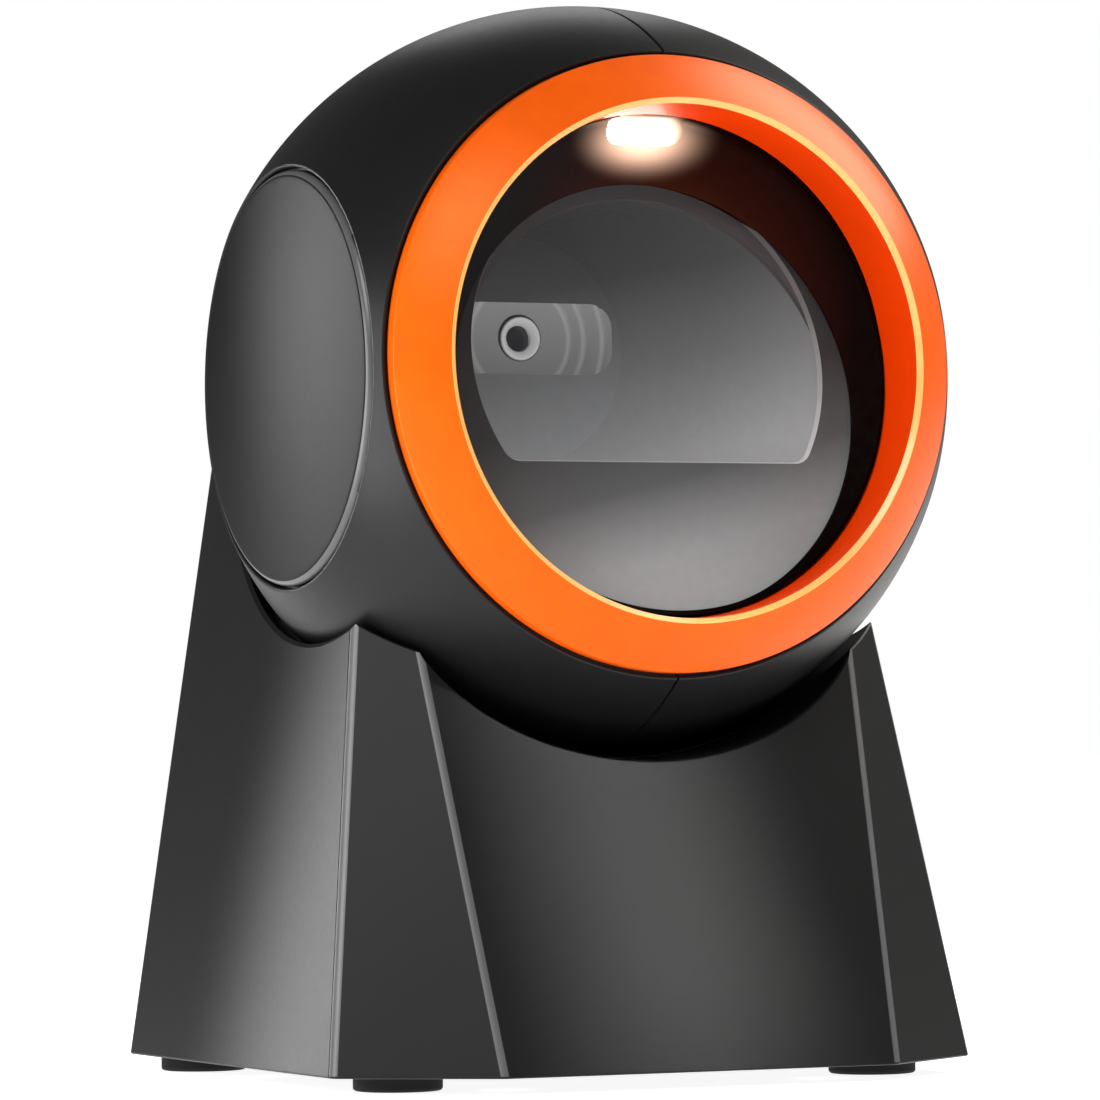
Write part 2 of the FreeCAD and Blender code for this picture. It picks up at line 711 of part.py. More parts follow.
def make_engine():
    body = new_body("engine_face")
    sketch = new_sketch(body, "engine_face_rim", "XZ_Plane", "-engine_face_depth")
    rectangle(sketch, "-engine_face_width / 2", "engine_face_width / 2",
              "engine_rise - engine_face_height / 2", "engine_rise + engine_face_height / 2")
    pad(body, sketch, "engine_face_plate", "engine_face_thick", backwards=True)
    round_edges(body, "engine_face_corners", "engine_face_corner - 0.02",
                lambda edge: abs(edge.tangentAt(edge.FirstParameter).y) > 0.99)
    hole = new_sketch(body, "engine_face_hole", "XZ_Plane", "-engine_face_depth")
    circle(hole, "0", "engine_rise", "lens_hole")
    pocket(body, hole, "engine_face_lens_hole", "10")
    for name in ("ridge_one", "ridge_two", "ridge_three"):
        groove = new_sketch(body, name + "_groove", "XZ_Plane", "-engine_face_depth")
        circle(groove, "0", "engine_rise", name)
        circle(groove, "0", "engine_rise", name + " + ridge_width")
        pocket(body, groove, name + "_cut", "ridge_depth")
    keep(body, "engine_face", HEAD)

    back = "engine_face_depth + engine_face_thick"
    body = new_body("engine_body")
    sketch = new_sketch(body, "engine_body_rim", "XZ_Plane", "-(" + back + ")")
    rectangle(sketch, "-engine_width / 2", "engine_width / 2",
              "engine_rise - engine_height / 2", "engine_rise + engine_height / 2")
    pad(body, sketch, "engine_body_block", "engine_length", backwards=True)
    bore = new_sketch(body, "engine_bore", "XZ_Plane", "-(" + back + ")")
    circle(bore, "0", "engine_rise", "lens_barrel_radius")
    pocket(body, bore, "engine_bore_cut", "50")
    keep(body, "engine_body", HEAD)

    body = new_body("lens_barrel")
    sketch = new_sketch(body, "lens_barrel_profile", "YZ_Plane")
    outline(sketch, [
        ("engine_face_depth - 0.6", "engine_rise + lens_iris + 0.9"),
        ("engine_face_depth - 0.6", "engine_rise + lens_barrel_radius - 0.5"),
        ("engine_face_depth - 0.1", "engine_rise + lens_barrel_radius"),
        ("engine_face_depth + 8", "engine_rise + lens_barrel_radius"),
        ("engine_face_depth + 8", "engine_rise + lens_iris + 0.4"),
        ("engine_face_depth + 1.4", "engine_rise + lens_iris + 0.4"),
        ("engine_face_depth + 0.6", "engine_rise + lens_iris"),
    ])
    axis = new_sketch(body, "lens_axis", "YZ_Plane")
    line = axis.addGeometry(Part.LineSegment(Vector(0, size("engine_rise"), 0),
                                             Vector(30, size("engine_rise"), 0)))
    pin_point(axis, line, 1, "0", "engine_rise")
    pin_point(axis, line, 2, "30", "engine_rise")
    feature = body.newObject("PartDesign::Revolution", "lens_barrel_spin")
    feature.Profile = sketch
    feature.ReferenceAxis = (axis, ["Edge1"])
    feature.Angle = 360
    keep(body, "lens_barrel", HEAD)

    body = new_body("lens_glass")
    sketch = new_sketch(body, "lens_glass_rim", "XZ_Plane", "-(engine_face_depth + 1.6)")
    circle(sketch, "0", "engine_rise", "lens_iris + 0.4")
    pad(body, sketch, "lens_glass_disc", "1.4", backwards=True)
    keep(body, "lens_glass", HEAD)

    body = new_body("sensor_board")
    sketch = new_sketch(body, "sensor_board_rim", "XZ_Plane",
                        "-(" + back + " + engine_length)")
    rectangle(sketch, "-engine_width / 2 - 1", "engine_width / 2 + 1",
              "engine_rise - engine_height / 2 - 1.5", "engine_rise + engine_height / 2 + 1.5")
    pad(body, sketch, "sensor_board_plate", "sensor_board_thick", backwards=True)
    keep(body, "sensor_board", HEAD)

    body = new_body("image_sensor")
    sketch = new_sketch(body, "image_sensor_rim", "XZ_Plane",
                        "-(" + back + " + engine_length - 0.9)")
    rectangle(sketch, "-2.2", "2.2", "engine_rise - 1.9", "engine_rise + 1.9")
    pad(body, sketch, "image_sensor_chip", "0.9", backwards=True)
    keep(body, "image_sensor", HEAD)


# ------------------------------------------------------------- head boards

BOARD_SCREWS = (
    ("-board_screw_half", "board_screw_low"),
    ("-board_screw_half", "board_screw_high"),
    ("board_screw_half", "board_screw_low"),
    ("board_screw_half", "board_screw_high"),
)


def make_main_board():
    body = new_body("main_board")
    sketch = new_sketch(body, "main_board_rim", "XZ_Plane", "-board_depth")
    rectangle(sketch, "-board_width / 2", "board_width / 2", "6 - board_height / 2",
              "6 + board_height / 2")
    pad(body, sketch, "main_board_plate", "board_thick", backwards=True)
    holes = new_sketch(body, "main_board_holes", "XZ_Plane", "-board_depth")
    for across, up in BOARD_SCREWS:
        circle(holes, across, up, "board_screw_hole")
    pocket(body, holes, "main_board_drill", "10")
    round_edges(body, "main_board_corners", "2",
                lambda edge: abs(edge.tangentAt(edge.FirstParameter).y) > 0.99
                and abs(edge.BoundBox.XMax) > size("board_width") / 2 - 1)
    keep(body, "main_board", HEAD)

    back = "board_depth + board_thick"
    chips = [
        block("decoder_chip", "12", "1.2", "12", ("-4", back, "2")),
        block("memory_chip", "8", "1.1", "6", ("9", back, "8")),
        block("clock_can", "3.2", "0.9", "2.5", ("8", back, "2")),
        block("regulator", "4.4", "1.4", "4.8", ("-17", back, "2")),
    ]
    keep(grouped("board_chip_group", *chips), "main_board_chips", HEAD)
    plug = block("board_plug_block", "9", "4", "5", ("0", back, "-10.5"))
    keep(grouped("board_plug_group", plug), "main_board_connector", HEAD)

    screws = []
    for across, up in BOARD_SCREWS:
        shank = rod("board_screw_shank", "board_screw_radius", "board_thick + board_screw_grip",
                    (across, back, up), ALONG_MINUS_Y)
        head = rod("board_screw_head", "board_screw_head", "board_screw_head_thick",
                   (across, back + " + board_screw_head_thick", up), ALONG_MINUS_Y)
        screws.append(joined("board_screw", shank, head))
    keep(grouped("board_screw_group", *screws), "main_board_screws", HEAD)


def make_hood_screws():
    screws = []
    for across, up in hood_screw_places():
        shank = rod("hood_screw_shank", "hood_screw_radius", "ring_back_depth - rib_back_depth",
                    (str(across), "-rib_back_depth", str(up)), ALONG_MINUS_Y)
        tip = rod("hood_screw_tip", "hood_screw_radius", "hood_screw_proud",
                  (str(across), "-rib_back_depth + hood_screw_proud", str(up)), ALONG_MINUS_Y)
        screws.append(joined("hood_screw", shank, tip))
    keep(grouped("hood_screw_group", *screws), "hood_screws", HEAD)


def make_lamp():
    body = new_body("lamp_lens")
    sketch = new_sketch(body, "lamp_lens_rim", "XZ_Plane", "lamp_face_depth")
    rectangle(sketch, "-lamp_width / 2", "lamp_width / 2", "lamp_low", "lamp_high")
    pad(body, sketch, "lamp_lens_bar", "lamp_thick", backwards=True)
    keep(body, "lamp_lens", HEAD)

    board_front = "-(lamp_face_depth - lamp_thick - 1.4)"
    leds = [block("lamp_led", "2.6", "1.2", "2.6",
                  (str(across), board_front + " - 1.2", "(lamp_low + lamp_high) / 2 - 1.3"))
            for across in (-3.6, 0, 3.6)]
    keep(grouped("lamp_led_group", *leds), "lamp_leds", HEAD)
    board = block("lamp_board_plate", "lamp_width + 1.4", "1.2", "lamp_high - lamp_low",
                  ("0", board_front, "lamp_low"))
    keep(grouped("lamp_board_group", board), "lamp_board", HEAD)


# --------------------------------------------------------- pivots and yoke

def make_pivots():
    body = new_body("pivot_screw")
    sketch = new_sketch(body, "pivot_screw_profile", "XY_Plane")
    head_in = "cheek_floor_out + 0.1"
    outline(sketch, [
        ("yoke_outer - yoke_thick - 0.6", "0"),
        (head_in + " + pivot_head_thick", "0"),
        (head_in + " + pivot_head_thick", "pivot_head_radius - 0.4"),
        (head_in + " + pivot_head_thick - 0.4", "pivot_head_radius"),
        (head_in, "pivot_head_radius"),
        (head_in, "pivot_radius"),
        ("yoke_outer", "pivot_radius"),
        ("yoke_outer", "pivot_thread"),
        ("yoke_outer - yoke_thick - 0.6", "pivot_thread"),
    ])
    spin(body, sketch, "pivot_screw_spin", "H_Axis")
    place = Placement(HEAD.Base, UPRIGHT)
    body.Placement = place
    keep(grouped("pivot_screw_pair", body, mirrored("pivot_screw_left", body)), "pivot_screws")

    washer = new_body("friction_washer")
    sketch = new_sketch(washer, "friction_washer_profile", "XY_Plane")
    rectangle(sketch, "yoke_outer", "cheek_floor_in - 0.1", "pivot_radius + 0.1",
              "washer_radius")
    spin(washer, sketch, "friction_washer_spin", "H_Axis")
    washer.Placement = place
    keep(grouped("friction_washer_pair", washer, mirrored("friction_washer_left", washer)),
         "friction_washers")


YOKE_SCREWS = ("-yoke_screw_half", "yoke_screw_half")


def yoke_foot_back(height):
    """How far behind the pivot the arm's middle line is at this height."""
    return "(ball_height - (%s)) * tan(yoke_lean)" % height


def make_yoke():
    top = Placement(HEAD.Base, Rotation(Vector(1, 0, 0), size("yoke_lean")))
    arms = []
    length = "(ball_height - yoke_foot_height - yoke_foot_thick) / cos(yoke_lean)"
    for name, side in (("right", 1), ("left", -1)):
        arm = DOC.addObject("Part::Box", "yoke_arm_" + name)
        bind(arm, "Length", "yoke_thick")
        bind(arm, "Width", "yoke_arm_width")
        bind(arm, "Height", length)
        inner = size("yoke_outer - yoke_thick")
        start = inner if side > 0 else -size("yoke_outer")
        arm.Placement = top.multiply(Placement(
            Vector(start, -size("yoke_arm_width") / 2, -size(length)), UPRIGHT))
        eye = rod("yoke_eye_" + name, "yoke_arm_width / 2", "yoke_thick",
                  (str(start), "-ball_forward", "ball_height"), ALONG_X)
        foot_y = "-ball_forward + " + yoke_foot_back("yoke_foot_height") + " - 8"
        foot = block("yoke_foot_" + name, "14", "14", "yoke_foot_thick",
                     (str(side * (size("yoke_outer") - 7)), foot_y, "yoke_foot_height"))
        arms += [arm, eye, foot]
    bar_height = "36"
    bar_y = "-ball_forward + " + yoke_foot_back(bar_height + " + 2") + " - 4"
    bar = block("yoke_bar", "2 * yoke_outer", "8", "3", ("0", bar_y, bar_height))
    stock = joined("yoke_stock", *arms, bar)
    drill = rod("yoke_pivot_drill", "pivot_thread", "100",
                ("-50", "-ball_forward", "ball_height"), ALONG_X)
    floor = block("yoke_below", "100", "100", "yoke_foot_height", ("0", "-50", "0"))
    yoke = cut("yoke_cut", stock, drill, floor,
               *[rod("yoke_foot_drill", "1.7", "20", (across, yoke_screw_y(), "5"))
                 for across in YOKE_SCREWS])
    keep(yoke, "tilt_yoke")


def yoke_screw_y():
    return "-ball_forward + " + yoke_foot_back("yoke_foot_height") + " - 1"


def arm_clearance(name):
    """The hole that each yoke arm, with the harness beside it, needs in the saddle."""
    holes = []
    for tag, side in (("right", 1), ("left", -1)):
        hole = DOC.addObject("Part::Box", "%s_%s" % (name, tag))
        bind(hole, "Length", "yoke_thick + 5")
        bind(hole, "Width", "yoke_arm_width + 2 * slot_play + 0.6")
        bind(hole, "Height", "60")
        start = size("yoke_outer - yoke_thick - 4.4") if side > 0 else -size("yoke_outer") - 0.6
        top = Placement(HEAD.Base, Rotation(Vector(1, 0, 0), size("yoke_lean")))
        hole.Placement = top.multiply(Placement(
            Vector(start, -size("yoke_arm_width / 2 + slot_play + 0.3"), -84), UPRIGHT))
        holes.append(hole)
    return holes


# --------------------------------------------------------------- base shells

def base_section(name, height):
    """The outer outline of the base at a height, from edges that would meet higher up."""
    rise = "(%s - base_floor) / (meet_height - base_floor)" % height

    def between(low, high):
        return "%s + (%s - %s) * %s" % (low, high, low, rise)

    crease_x = between("crease_half", "meet_half")
    crease_y = "-(" + between("base_front", "meet_front") + ")"
    corner_x = between("corner_half", "meet_half")
    corner_y = "-(" + between("corner_front", "meet_front") + ")"
    back_x = between("back_half", "meet_back_half")
    back_y = between("base_back", "meet_back")
    sketch = loose_sketch(name, Placement(Vector(0, 0, size(height)), UPRIGHT))
    bind(sketch, "Placement.Base.z", height)
    right = [(crease_x, crease_y), (corner_x, corner_y), (back_x, back_y)]
    left = [("-(" + x + ")", y) for x, y in reversed(right)]
    return outline(sketch, right + left)


def make_base_shells():
    low = base_section("base_low_section", "base_floor")
    high = base_section("base_high_section", "base_top")
    outer = loft("base_outer", [low, high], True)
    DOC.recompute()
    under = [("Face%d" % (number + 1)) for number, face in enumerate(outer.Shape.Faces)
             if abs(face.CenterOfMass.z - size("base_floor")) < 1e-3]
    walls = DOC.addObject("Part::Thickness", "base_walls")
    walls.Faces = (outer, under)
    bind(walls, "Value", "-base_wall")
    walls.Join = 2
    walls.Mode = 0
    cavity = cut("base_cavity", outer, walls)

    centre = ("0", "-ball_forward", "ball_height")
    dish_out = solid("Part::Sphere", "saddle_outer", centre,
                     Radius="ball_radius + saddle_gap + saddle_wall")
    dish_in = solid("Part::Sphere", "saddle_inner", centre, Radius="ball_radius + saddle_gap")
    relief_in = relief_rod("relief_inner", "0")
    relief_out = relief_rod("relief_outer", "saddle_wall")
    kept = joined("saddle_stock", dish_out, relief_out)
    room = cut("base_room", cavity, kept)
    bosses, drills = base_bosses()
    port = block("port_cutout", "jack_width + 0.6", "20", "jack_height + 0.6",
                 ("0", "jack_face - 8", "iface_height + iface_thick - 0.3"))
    hull = cut("base_hull", outer, room, dish_in, relief_in, port, *arm_clearance("arm_hole"))
    shell = cut("base_shell", joined("base_with_bosses", hull, bosses), drills)

    front_zone = seam_zone("front_zone", "0")
    rear_zone = seam_zone("rear_zone", "seam_width")
    keep(shared("front_shell", shell, front_zone), "base_front_shell")
    keep(cut("rear_shell", shell, rear_zone), "base_rear_shell")


def relief_rod(name, grown):
    """The oval hollow over the middle of the front panel, open to the front."""
    sketch = loose_sketch(name + "_oval", Placement(
        Vector(0, -80, size("relief_height")), ALONG_MINUS_Y))
    half = size("relief_half + " + grown)
    drop = size("relief_drop + " + grown)
    sketch.addGeometry(Part.Ellipse(Vector(half, 0, 0), Vector(0, drop, 0), Vector(0, 0, 0)))
    rod_shape = DOC.addObject("Part::Extrusion", name)
    rod_shape.Base = sketch
    rod_shape.DirMode = "Custom"
    rod_shape.Dir = Vector(0, 1, 0)
    bind(rod_shape, "LengthFwd", "80 - relief_back + " + grown)
    rod_shape.Solid = True
    return rod_shape


def seam_zone(name, grown):
    """All that lies in front of the seam between the two base shells."""
    behind = "seam_behind_corner + " + grown
    lean = "(corner_front - meet_front) / (meet_height - base_floor)"
    sketch = loose_sketch(name + "_side",
                          Placement(Vector(-80, 0, 0), Rotation(Vector(1, 1, 1), 120)))
    outline(sketch, [
        ("-90", "-10"),
        ("-corner_front + " + behind + " - (base_floor + 10) * " + lean, "-10"),
        ("-corner_front + " + behind + " + (110 - base_floor) * " + lean, "110"),
        ("-90", "110"),
    ])
    zone = DOC.addObject("Part::Extrusion", name)
    zone.Base = sketch
    zone.DirMode = "Custom"
    zone.Dir = Vector(1, 0, 0)
    zone.LengthFwd = 160
    zone.Solid = True
    return zone


BASE_SCREWS = (
    # across, front-back, how far the rib reaches to the wall: its direction
    (24.0, -34.0, "front"),
    (-24.0, -34.0, "front"),
    (39.0, 16.0, "side"),
    (-39.0, 16.0, "side"),
)


def base_bosses():
    """Screw bosses in the base, with ribs that tie them to the walls."""
    parts = []
    drills = []
    low = size("base_floor + plate_thick")
    for number, (across, along, wall) in enumerate(BASE_SCREWS):
        place = (str(across), str(along), str(low))
        parts.append(rod("base_boss_%d" % number, "boss_radius", "boss_height", place))
        if wall == "front":
            rib = block("base_rib_%d" % number, "boss_rib", "boss_reach", "boss_height",
                        (place[0], place[1] + " - boss_reach", place[2]))
        else:
            away = "+" if across > 0 else "-"
            rib = block("base_rib_%d" % number, "boss_reach", "boss_rib", "boss_height",
                        (place[0] + away + "boss_reach / 2", place[1] + " - boss_rib / 2", place[2]))
        parts.append(rib)
        drills.append(rod("base_boss_drill_%d" % number, "boss_drill", "boss_drill_top",
                          (place[0], place[1], "0")))
    inside = shared("base_bosses_inside", joined("base_boss_stock", *parts), DOC.base_outer)
    return inside, joined("base_boss_drills", *drills)


# ----------------------------------------------------- floor of the base

def inwards(point, before, after):
    """The way a corner of the bottom outline moves when both its edges move in by one."""
    def outward(start, end):
        run = (end - start).normalize()
        return Vector(run.y, -run.x, 0)
    first = outward(before, point)
    second = outward(point, after)
    share = 1 + first.dot(second)
    return (first + second) * (-1 / share)


def plate_corners():
    """The bottom outline of the base, drawn in by the plate's inset."""
    names = [("crease_half", "-base_front"), ("corner_half", "-corner_front"),
             ("back_half", "base_back")]
    names += [("-" + x, y) for x, y in reversed(names)]
    points = [Vector(size(x), size(y), 0) for x, y in names]
    corners = []
    for number, (x, y) in enumerate(names):
        shift = inwards(points[number], points[number - 1], points[(number + 1) % len(points)])
        corners.append(("%s + (%.4f) * plate_inset" % (x, shift.x),
                        "%s + (%.4f) * plate_inset" % (y, shift.y)))
    return corners


FEET = (
    ("foot_front_half", "-foot_front"),
    ("-foot_front_half", "-foot_front"),
    ("foot_back_half", "foot_back"),
    ("-foot_back_half", "foot_back"),
)


def make_bottom_plate():
    body = new_body("bottom_plate")
    sketch = new_sketch(body, "bottom_plate_rim", "XY_Plane", "base_floor")
    outline(sketch, plate_corners())
    pad(body, sketch, "bottom_plate_sheet", "plate_thick")
    seats = new_sketch(body, "foot_seats", "XY_Plane", "base_floor")
    for across, along in FEET:
        circle(seats, across, along, "foot_radius + 0.05")
    pocket(body, seats, "foot_seat_cut", "foot_sunk", backwards=True)
    holes = new_sketch(body, "bottom_holes", "XY_Plane", "base_floor")
    for across, along, _ in BASE_SCREWS:
        circle(holes, str(across), str(along), "1.6")
    for across in YOKE_SCREWS:
        circle(holes, across, yoke_screw_y(), "boss_drill")
    pocket(body, holes, "bottom_drill", "10", backwards=True)
    sinks = new_sketch(body, "bottom_sinks", "XY_Plane", "base_floor")
    for across, along, _ in BASE_SCREWS:
        circle(sinks, str(across), str(along), "3.0")
    pocket(body, sinks, "bottom_sink_cut", "1.3", backwards=True)
    posts = new_sketch(body, "yoke_posts", "XY_Plane", "base_floor + plate_thick")
    for across in YOKE_SCREWS:
        circle(posts, across, yoke_screw_y(), "3.4")
        circle(posts, across, yoke_screw_y(), "boss_drill")
    pad(body, posts, "yoke_post_pair", "yoke_foot_height - base_floor - plate_thick")
    keep(body, "bottom_plate")

    feet = []
    for number, (across, along) in enumerate(FEET):
        foot = rod("foot_%d" % number, "foot_radius", "base_floor + foot_sunk",
                   (across, along, "0"))
        edge = DOC.addObject("Part::Fillet", "foot_round_%d" % number)
        edge.Base = foot
        DOC.recompute()
        edge.Edges = [(index + 1, 0.6, 0.6) for index, line in enumerate(foot.Shape.Edges)
                      if line.BoundBox.ZMax < 0.01]
        feet.append(edge)
    keep(grouped("foot_group", *feet), "rubber_feet")


def make_ballast():
    body = new_body("ballast_weight")
    sketch = new_sketch(body, "ballast_rim", "XY_Plane", "base_floor + plate_thick")
    rectangle(sketch, "-ballast_width / 2", "ballast_width / 2", "-ballast_front",
              "ballast_length - ballast_front")
    pad(body, sketch, "ballast_block", "ballast_thick")
    round_edges(body, "ballast_corners", "8",
                lambda edge: abs(edge.tangentAt(edge.FirstParameter).z) > 0.99)
    keep(body, "ballast_weight")


def make_base_screws():
    screws = []
    for across, along, _ in BASE_SCREWS:
        head = rod("base_screw_head", "2.8", "1.2", (str(across), str(along), "base_floor + 0.1"))
        shank = rod("base_screw_shank", "1.2", "9.5",
                    (str(across), str(along), "base_floor + 1"))
        screws.append(joined("base_screw", head, shank))
    keep(grouped("base_screw_group", *screws), "base_screws")
    screws = []
    for across in YOKE_SCREWS:
        top = "yoke_foot_height + yoke_foot_thick"
        head = rod("yoke_screw_head", "3.0", "1.6", (across, yoke_screw_y(), top))
        shank = rod("yoke_screw_shank", "1.2", "9.5",
                    (across, yoke_screw_y(), top + " - 9"))
        screws.append(joined("yoke_screw", head, shank))
    keep(grouped("yoke_screw_group", *screws), "yoke_screws")


# ------------------------------------------------ board, jack and harness

def make_interface():
    board = block("iface_plate", "iface_width", "iface_length", "iface_thick",
                  ("0", "iface_back - iface_length", "iface_height"))
    holes = [rod("iface_drill", "board_screw_hole", "10", (x, y, "iface_height - 4"))
             for x, y in IFACE_POSTS]
    keep(cut("iface_cut", board, *holes), "interface_board")
    posts = [rod("iface_post", "2.2", "iface_height - base_floor - plate_thick",
                 (x, y, "base_floor + plate_thick")) for x, y in IFACE_POSTS]
    spacers = [cut("iface_spacer", post,
                   rod("iface_post_drill", "board_screw_radius", "20", (x, y, "0")))
               for post, (x, y) in zip(posts, IFACE_POSTS)]
    keep(grouped("iface_spacer_group", *spacers), "board_spacers")
    screws = []
    for x, y in IFACE_POSTS:
        top = "iface_height + iface_thick"
        head = rod("iface_screw_head", "board_screw_head", "board_screw_head_thick",
                   (x, y, top))
        shank = rod("iface_screw_shank", "board_screw_radius", "5", (x, y, top + " - 4.5"))
        screws.append(joined("iface_screw", head, shank))
    keep(grouped("iface_screw_group", *screws), "interface_board_screws")

    low = "iface_height + iface_thick"
    shell = block("jack_block", "jack_width", "jack_length", "jack_height",
                  ("0", "jack_face - jack_length", low))
    mouth = block("jack_mouth", "jack_open_width", "jack_open_length + 1", "jack_open_height",
                  ("0", "jack_face - jack_open_length", low + " + 3.6"))
    latch = block("jack_latch", "6.2", "jack_open_length + 1", "2.6",
                  ("0", "jack_face - jack_open_length", low + " + 1.2"))
    keep(cut("jack_cut", shell, joined("jack_mouths", mouth, latch)), "data_jack")
    contacts = [block("jack_contact", "0.5", "9", "0.5",
                      ("%.2f" % (1.02 * (number - 4.5)),
                       "jack_face - jack_open_length", low + " + 3.6 + jack_open_height - 0.5"))
                for number in range(10)]
    keep(grouped("jack_contact_group", *contacts), "jack_contacts")
    buzzer = rod("buzzer_can", "buzzer_radius", "buzzer_height",
                 ("0", "iface_back - iface_length + 7", low))
    vent = rod("buzzer_vent", "1.2", "3",
               ("0", "iface_back - iface_length + 7", low + " + buzzer_height - 1"))
    keep(cut("buzzer_cut", buzzer, vent), "buzzer")
    plug = block("base_plug_block", "7", "4", "5", ("11.5", "iface_back - 18", low))
    keep(grouped("base_plug_group", plug), "interface_connector")


IFACE_POSTS = (("-14", "34"), ("14", "34"), ("-14", "14"), ("14", "14"))


def tube(name, points, radius):
    """A round wire through corner points: straight runs joined by tangent arcs."""
    places = [Vector(*point) for point in points]
    edges = []
    start = places[0]
    for number in range(1, len(places) - 1):
        before = places[number] - places[number - 1]
        after = places[number + 1] - places[number]
        turn = before.getAngle(after)
        reach = 0.45 * min(before.Length, after.Length)
        entry = places[number] - before.normalize() * reach
        leave = places[number] + after.normalize() * reach
        inward = (entry + leave) * 0.5 - places[number]
        bend = reach / math.tan(turn / 2)
        depth = math.sqrt(reach ** 2 + bend ** 2) - bend
        middle = places[number] + inward.normalize() * depth
        edges.append(Part.LineSegment(start, entry).toShape())
        edges.append(Part.Arc(entry, middle, leave).toShape())
        start = leave
    edges.append(Part.LineSegment(start, places[-1]).toShape())
    path = Part.Wire(edges)
    section = Part.Wire([Part.Circle(places[0], places[1] - places[0], radius).toShape()])
    shape = path.makePipeShell([section], True, False)
    expected = math.pi * radius ** 2 * path.Length
    if abs(shape.Volume - expected) > 0.02 * expected:
        raise RuntimeError(name + " is not a whole tube")
    feature = DOC.addObject("Part::Feature", name)
    feature.Shape = shape
    return feature


def make_wiring():
    wire = size("wire_radius")
    pivot_y = -size("ball_forward")
    pivot_z = size("ball_height")
    lean = math.radians(size("yoke_lean"))
    beside = size("yoke_outer - yoke_thick") - wire - 0.15

    def along_arm(distance, side):
        return (side * beside, pivot_y + distance * math.sin(lean),
                pivot_z - distance * math.cos(lean))

    plug_y = size("iface_back") - 18
    plug_z = size("iface_height + iface_thick") + 5
    base_points = [
        (beside - 2.6, pivot_y, pivot_z),
        (beside - 0.6, pivot_y + 3, pivot_z - 6),
        along_arm(16, 1),
        along_arm(46, 1),
        (30.0, 14.6, 42),
        (24.0, 14.4, 31),
        (15.0, 20.0, 25.5),
        (11.5, plug_y + 2, plug_z + 7),
        (11.5, plug_y + 2, plug_z),
    ]
    keep(tube("base_wire", base_points, wire), "base_harness")

    plug_back = size("board_depth + board_thick")
    head_points = [
        (beside - 4.8, 0, 0.0),
        (25.2, 4.0, -4.0),
        (22.5, 14.0, -10.0),
        (23.0, 27.0, -15.0),
        (21.5, 37.0, -16.5),
        (12.5, plug_back + 2.0, -13.2),
        (4.5, plug_back + 2.0, -10.2),
    ]
    keep(tube("head_wire", head_points, wire), "head_harness", HEAD)

    lamp_y = -size("lamp_face_depth - lamp_thick - 2.6")
    lamp_points = [
        (0.0, lamp_y, 33.0),
        (0.0, lamp_y + 6.0, 33.4),
        (0.6, 3.0, 36.0),
        (1.2, 20.0, 33.0),
        (1.6, 31.0, 28.5),
        (1.4, plug_back - 1.6, 24.0),
    ]
    keep(tube("lamp_wire", lamp_points, 0.8), "lamp_wire", HEAD)


# --------------------------------------------------------------- the whole

def main():
    make_head_shells()
    make_side_covers()
    make_bezel_ring()
    make_window_hood()
    make_scan_window()
    make_window_mask()
    make_window_gasket()
    make_light_chamber()
    make_engine()
    make_main_board()
    make_hood_screws()
    make_lamp()
    make_pivots()
    make_yoke()
    make_base_shells()
    make_bottom_plate()
    make_ballast()
    make_base_screws()
    make_interface()
    make_wiring()
    DOC.recompute()

    for thing in DOC.Objects:
        if "Invalid" in thing.State or "Error" in thing.State:
            raise RuntimeError("%s failed: %s" % (thing.Label, thing.State))
    for label, thing in SUBPARTS.items():
        if thing.Shape.isNull() or not thing.Shape.isValid() or not thing.Shape.Solids:
            raise RuntimeError(label + " has no valid solid")

    os.makedirs("parts", exist_ok=True)
    for label, thing in SUBPARTS.items():
        thing.Shape.exportStep("parts/%s.step" % label)
        box = thing.Shape.BoundBox
        print("%-24s %2d solids %9.1f mm3  x %.1f..%.1f y %.1f..%.1f z %.1f..%.1f" % (
            label, len(thing.Shape.Solids), thing.Shape.Volume,
            box.XMin, box.XMax, box.YMin, box.YMax, box.ZMin, box.ZMax))


main()
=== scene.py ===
import math

import bmesh
import bpy
import numpy as np
from mathutils import Matrix, Vector
from mathutils.geometry import intersect_line_plane


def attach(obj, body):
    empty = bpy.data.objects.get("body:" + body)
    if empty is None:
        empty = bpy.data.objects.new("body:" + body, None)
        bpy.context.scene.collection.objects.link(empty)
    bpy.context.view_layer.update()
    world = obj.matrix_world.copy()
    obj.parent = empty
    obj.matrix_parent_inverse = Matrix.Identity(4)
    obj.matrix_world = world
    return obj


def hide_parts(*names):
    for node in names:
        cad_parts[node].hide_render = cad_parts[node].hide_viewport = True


# A ball-headed presentation scanner. Shapes are written in millimetres and scaled to metres.
# The head's pieces are drawn about the centre of the ball, untilted, window towards -Y,
# and placed by HEAD. The base's pieces are drawn in the frame of the part.

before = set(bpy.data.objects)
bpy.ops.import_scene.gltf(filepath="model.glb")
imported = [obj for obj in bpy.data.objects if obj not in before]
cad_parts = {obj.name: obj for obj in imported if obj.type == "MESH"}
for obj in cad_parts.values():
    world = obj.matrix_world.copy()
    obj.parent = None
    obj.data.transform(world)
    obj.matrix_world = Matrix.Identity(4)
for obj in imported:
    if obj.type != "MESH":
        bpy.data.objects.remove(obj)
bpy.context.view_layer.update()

MM = 0.001
BALL = Vector((0, -7.45, 97.2))
BALL_RADIUS = 52.8
REST_TILT = 1.8
LAMP = Vector((0, -20.6, 32.9))
LENS = Vector((0, 0, 104.43))
HEAD = Matrix.Translation(BALL) @ Matrix.Rotation(math.radians(-REST_TILT), 4, "X")
PART = Matrix()
ALONG_X = Matrix(((0, 0, 1, 0), (1, 0, 0, 0), (0, 1, 0, 0), (0, 0, 0, 1)))
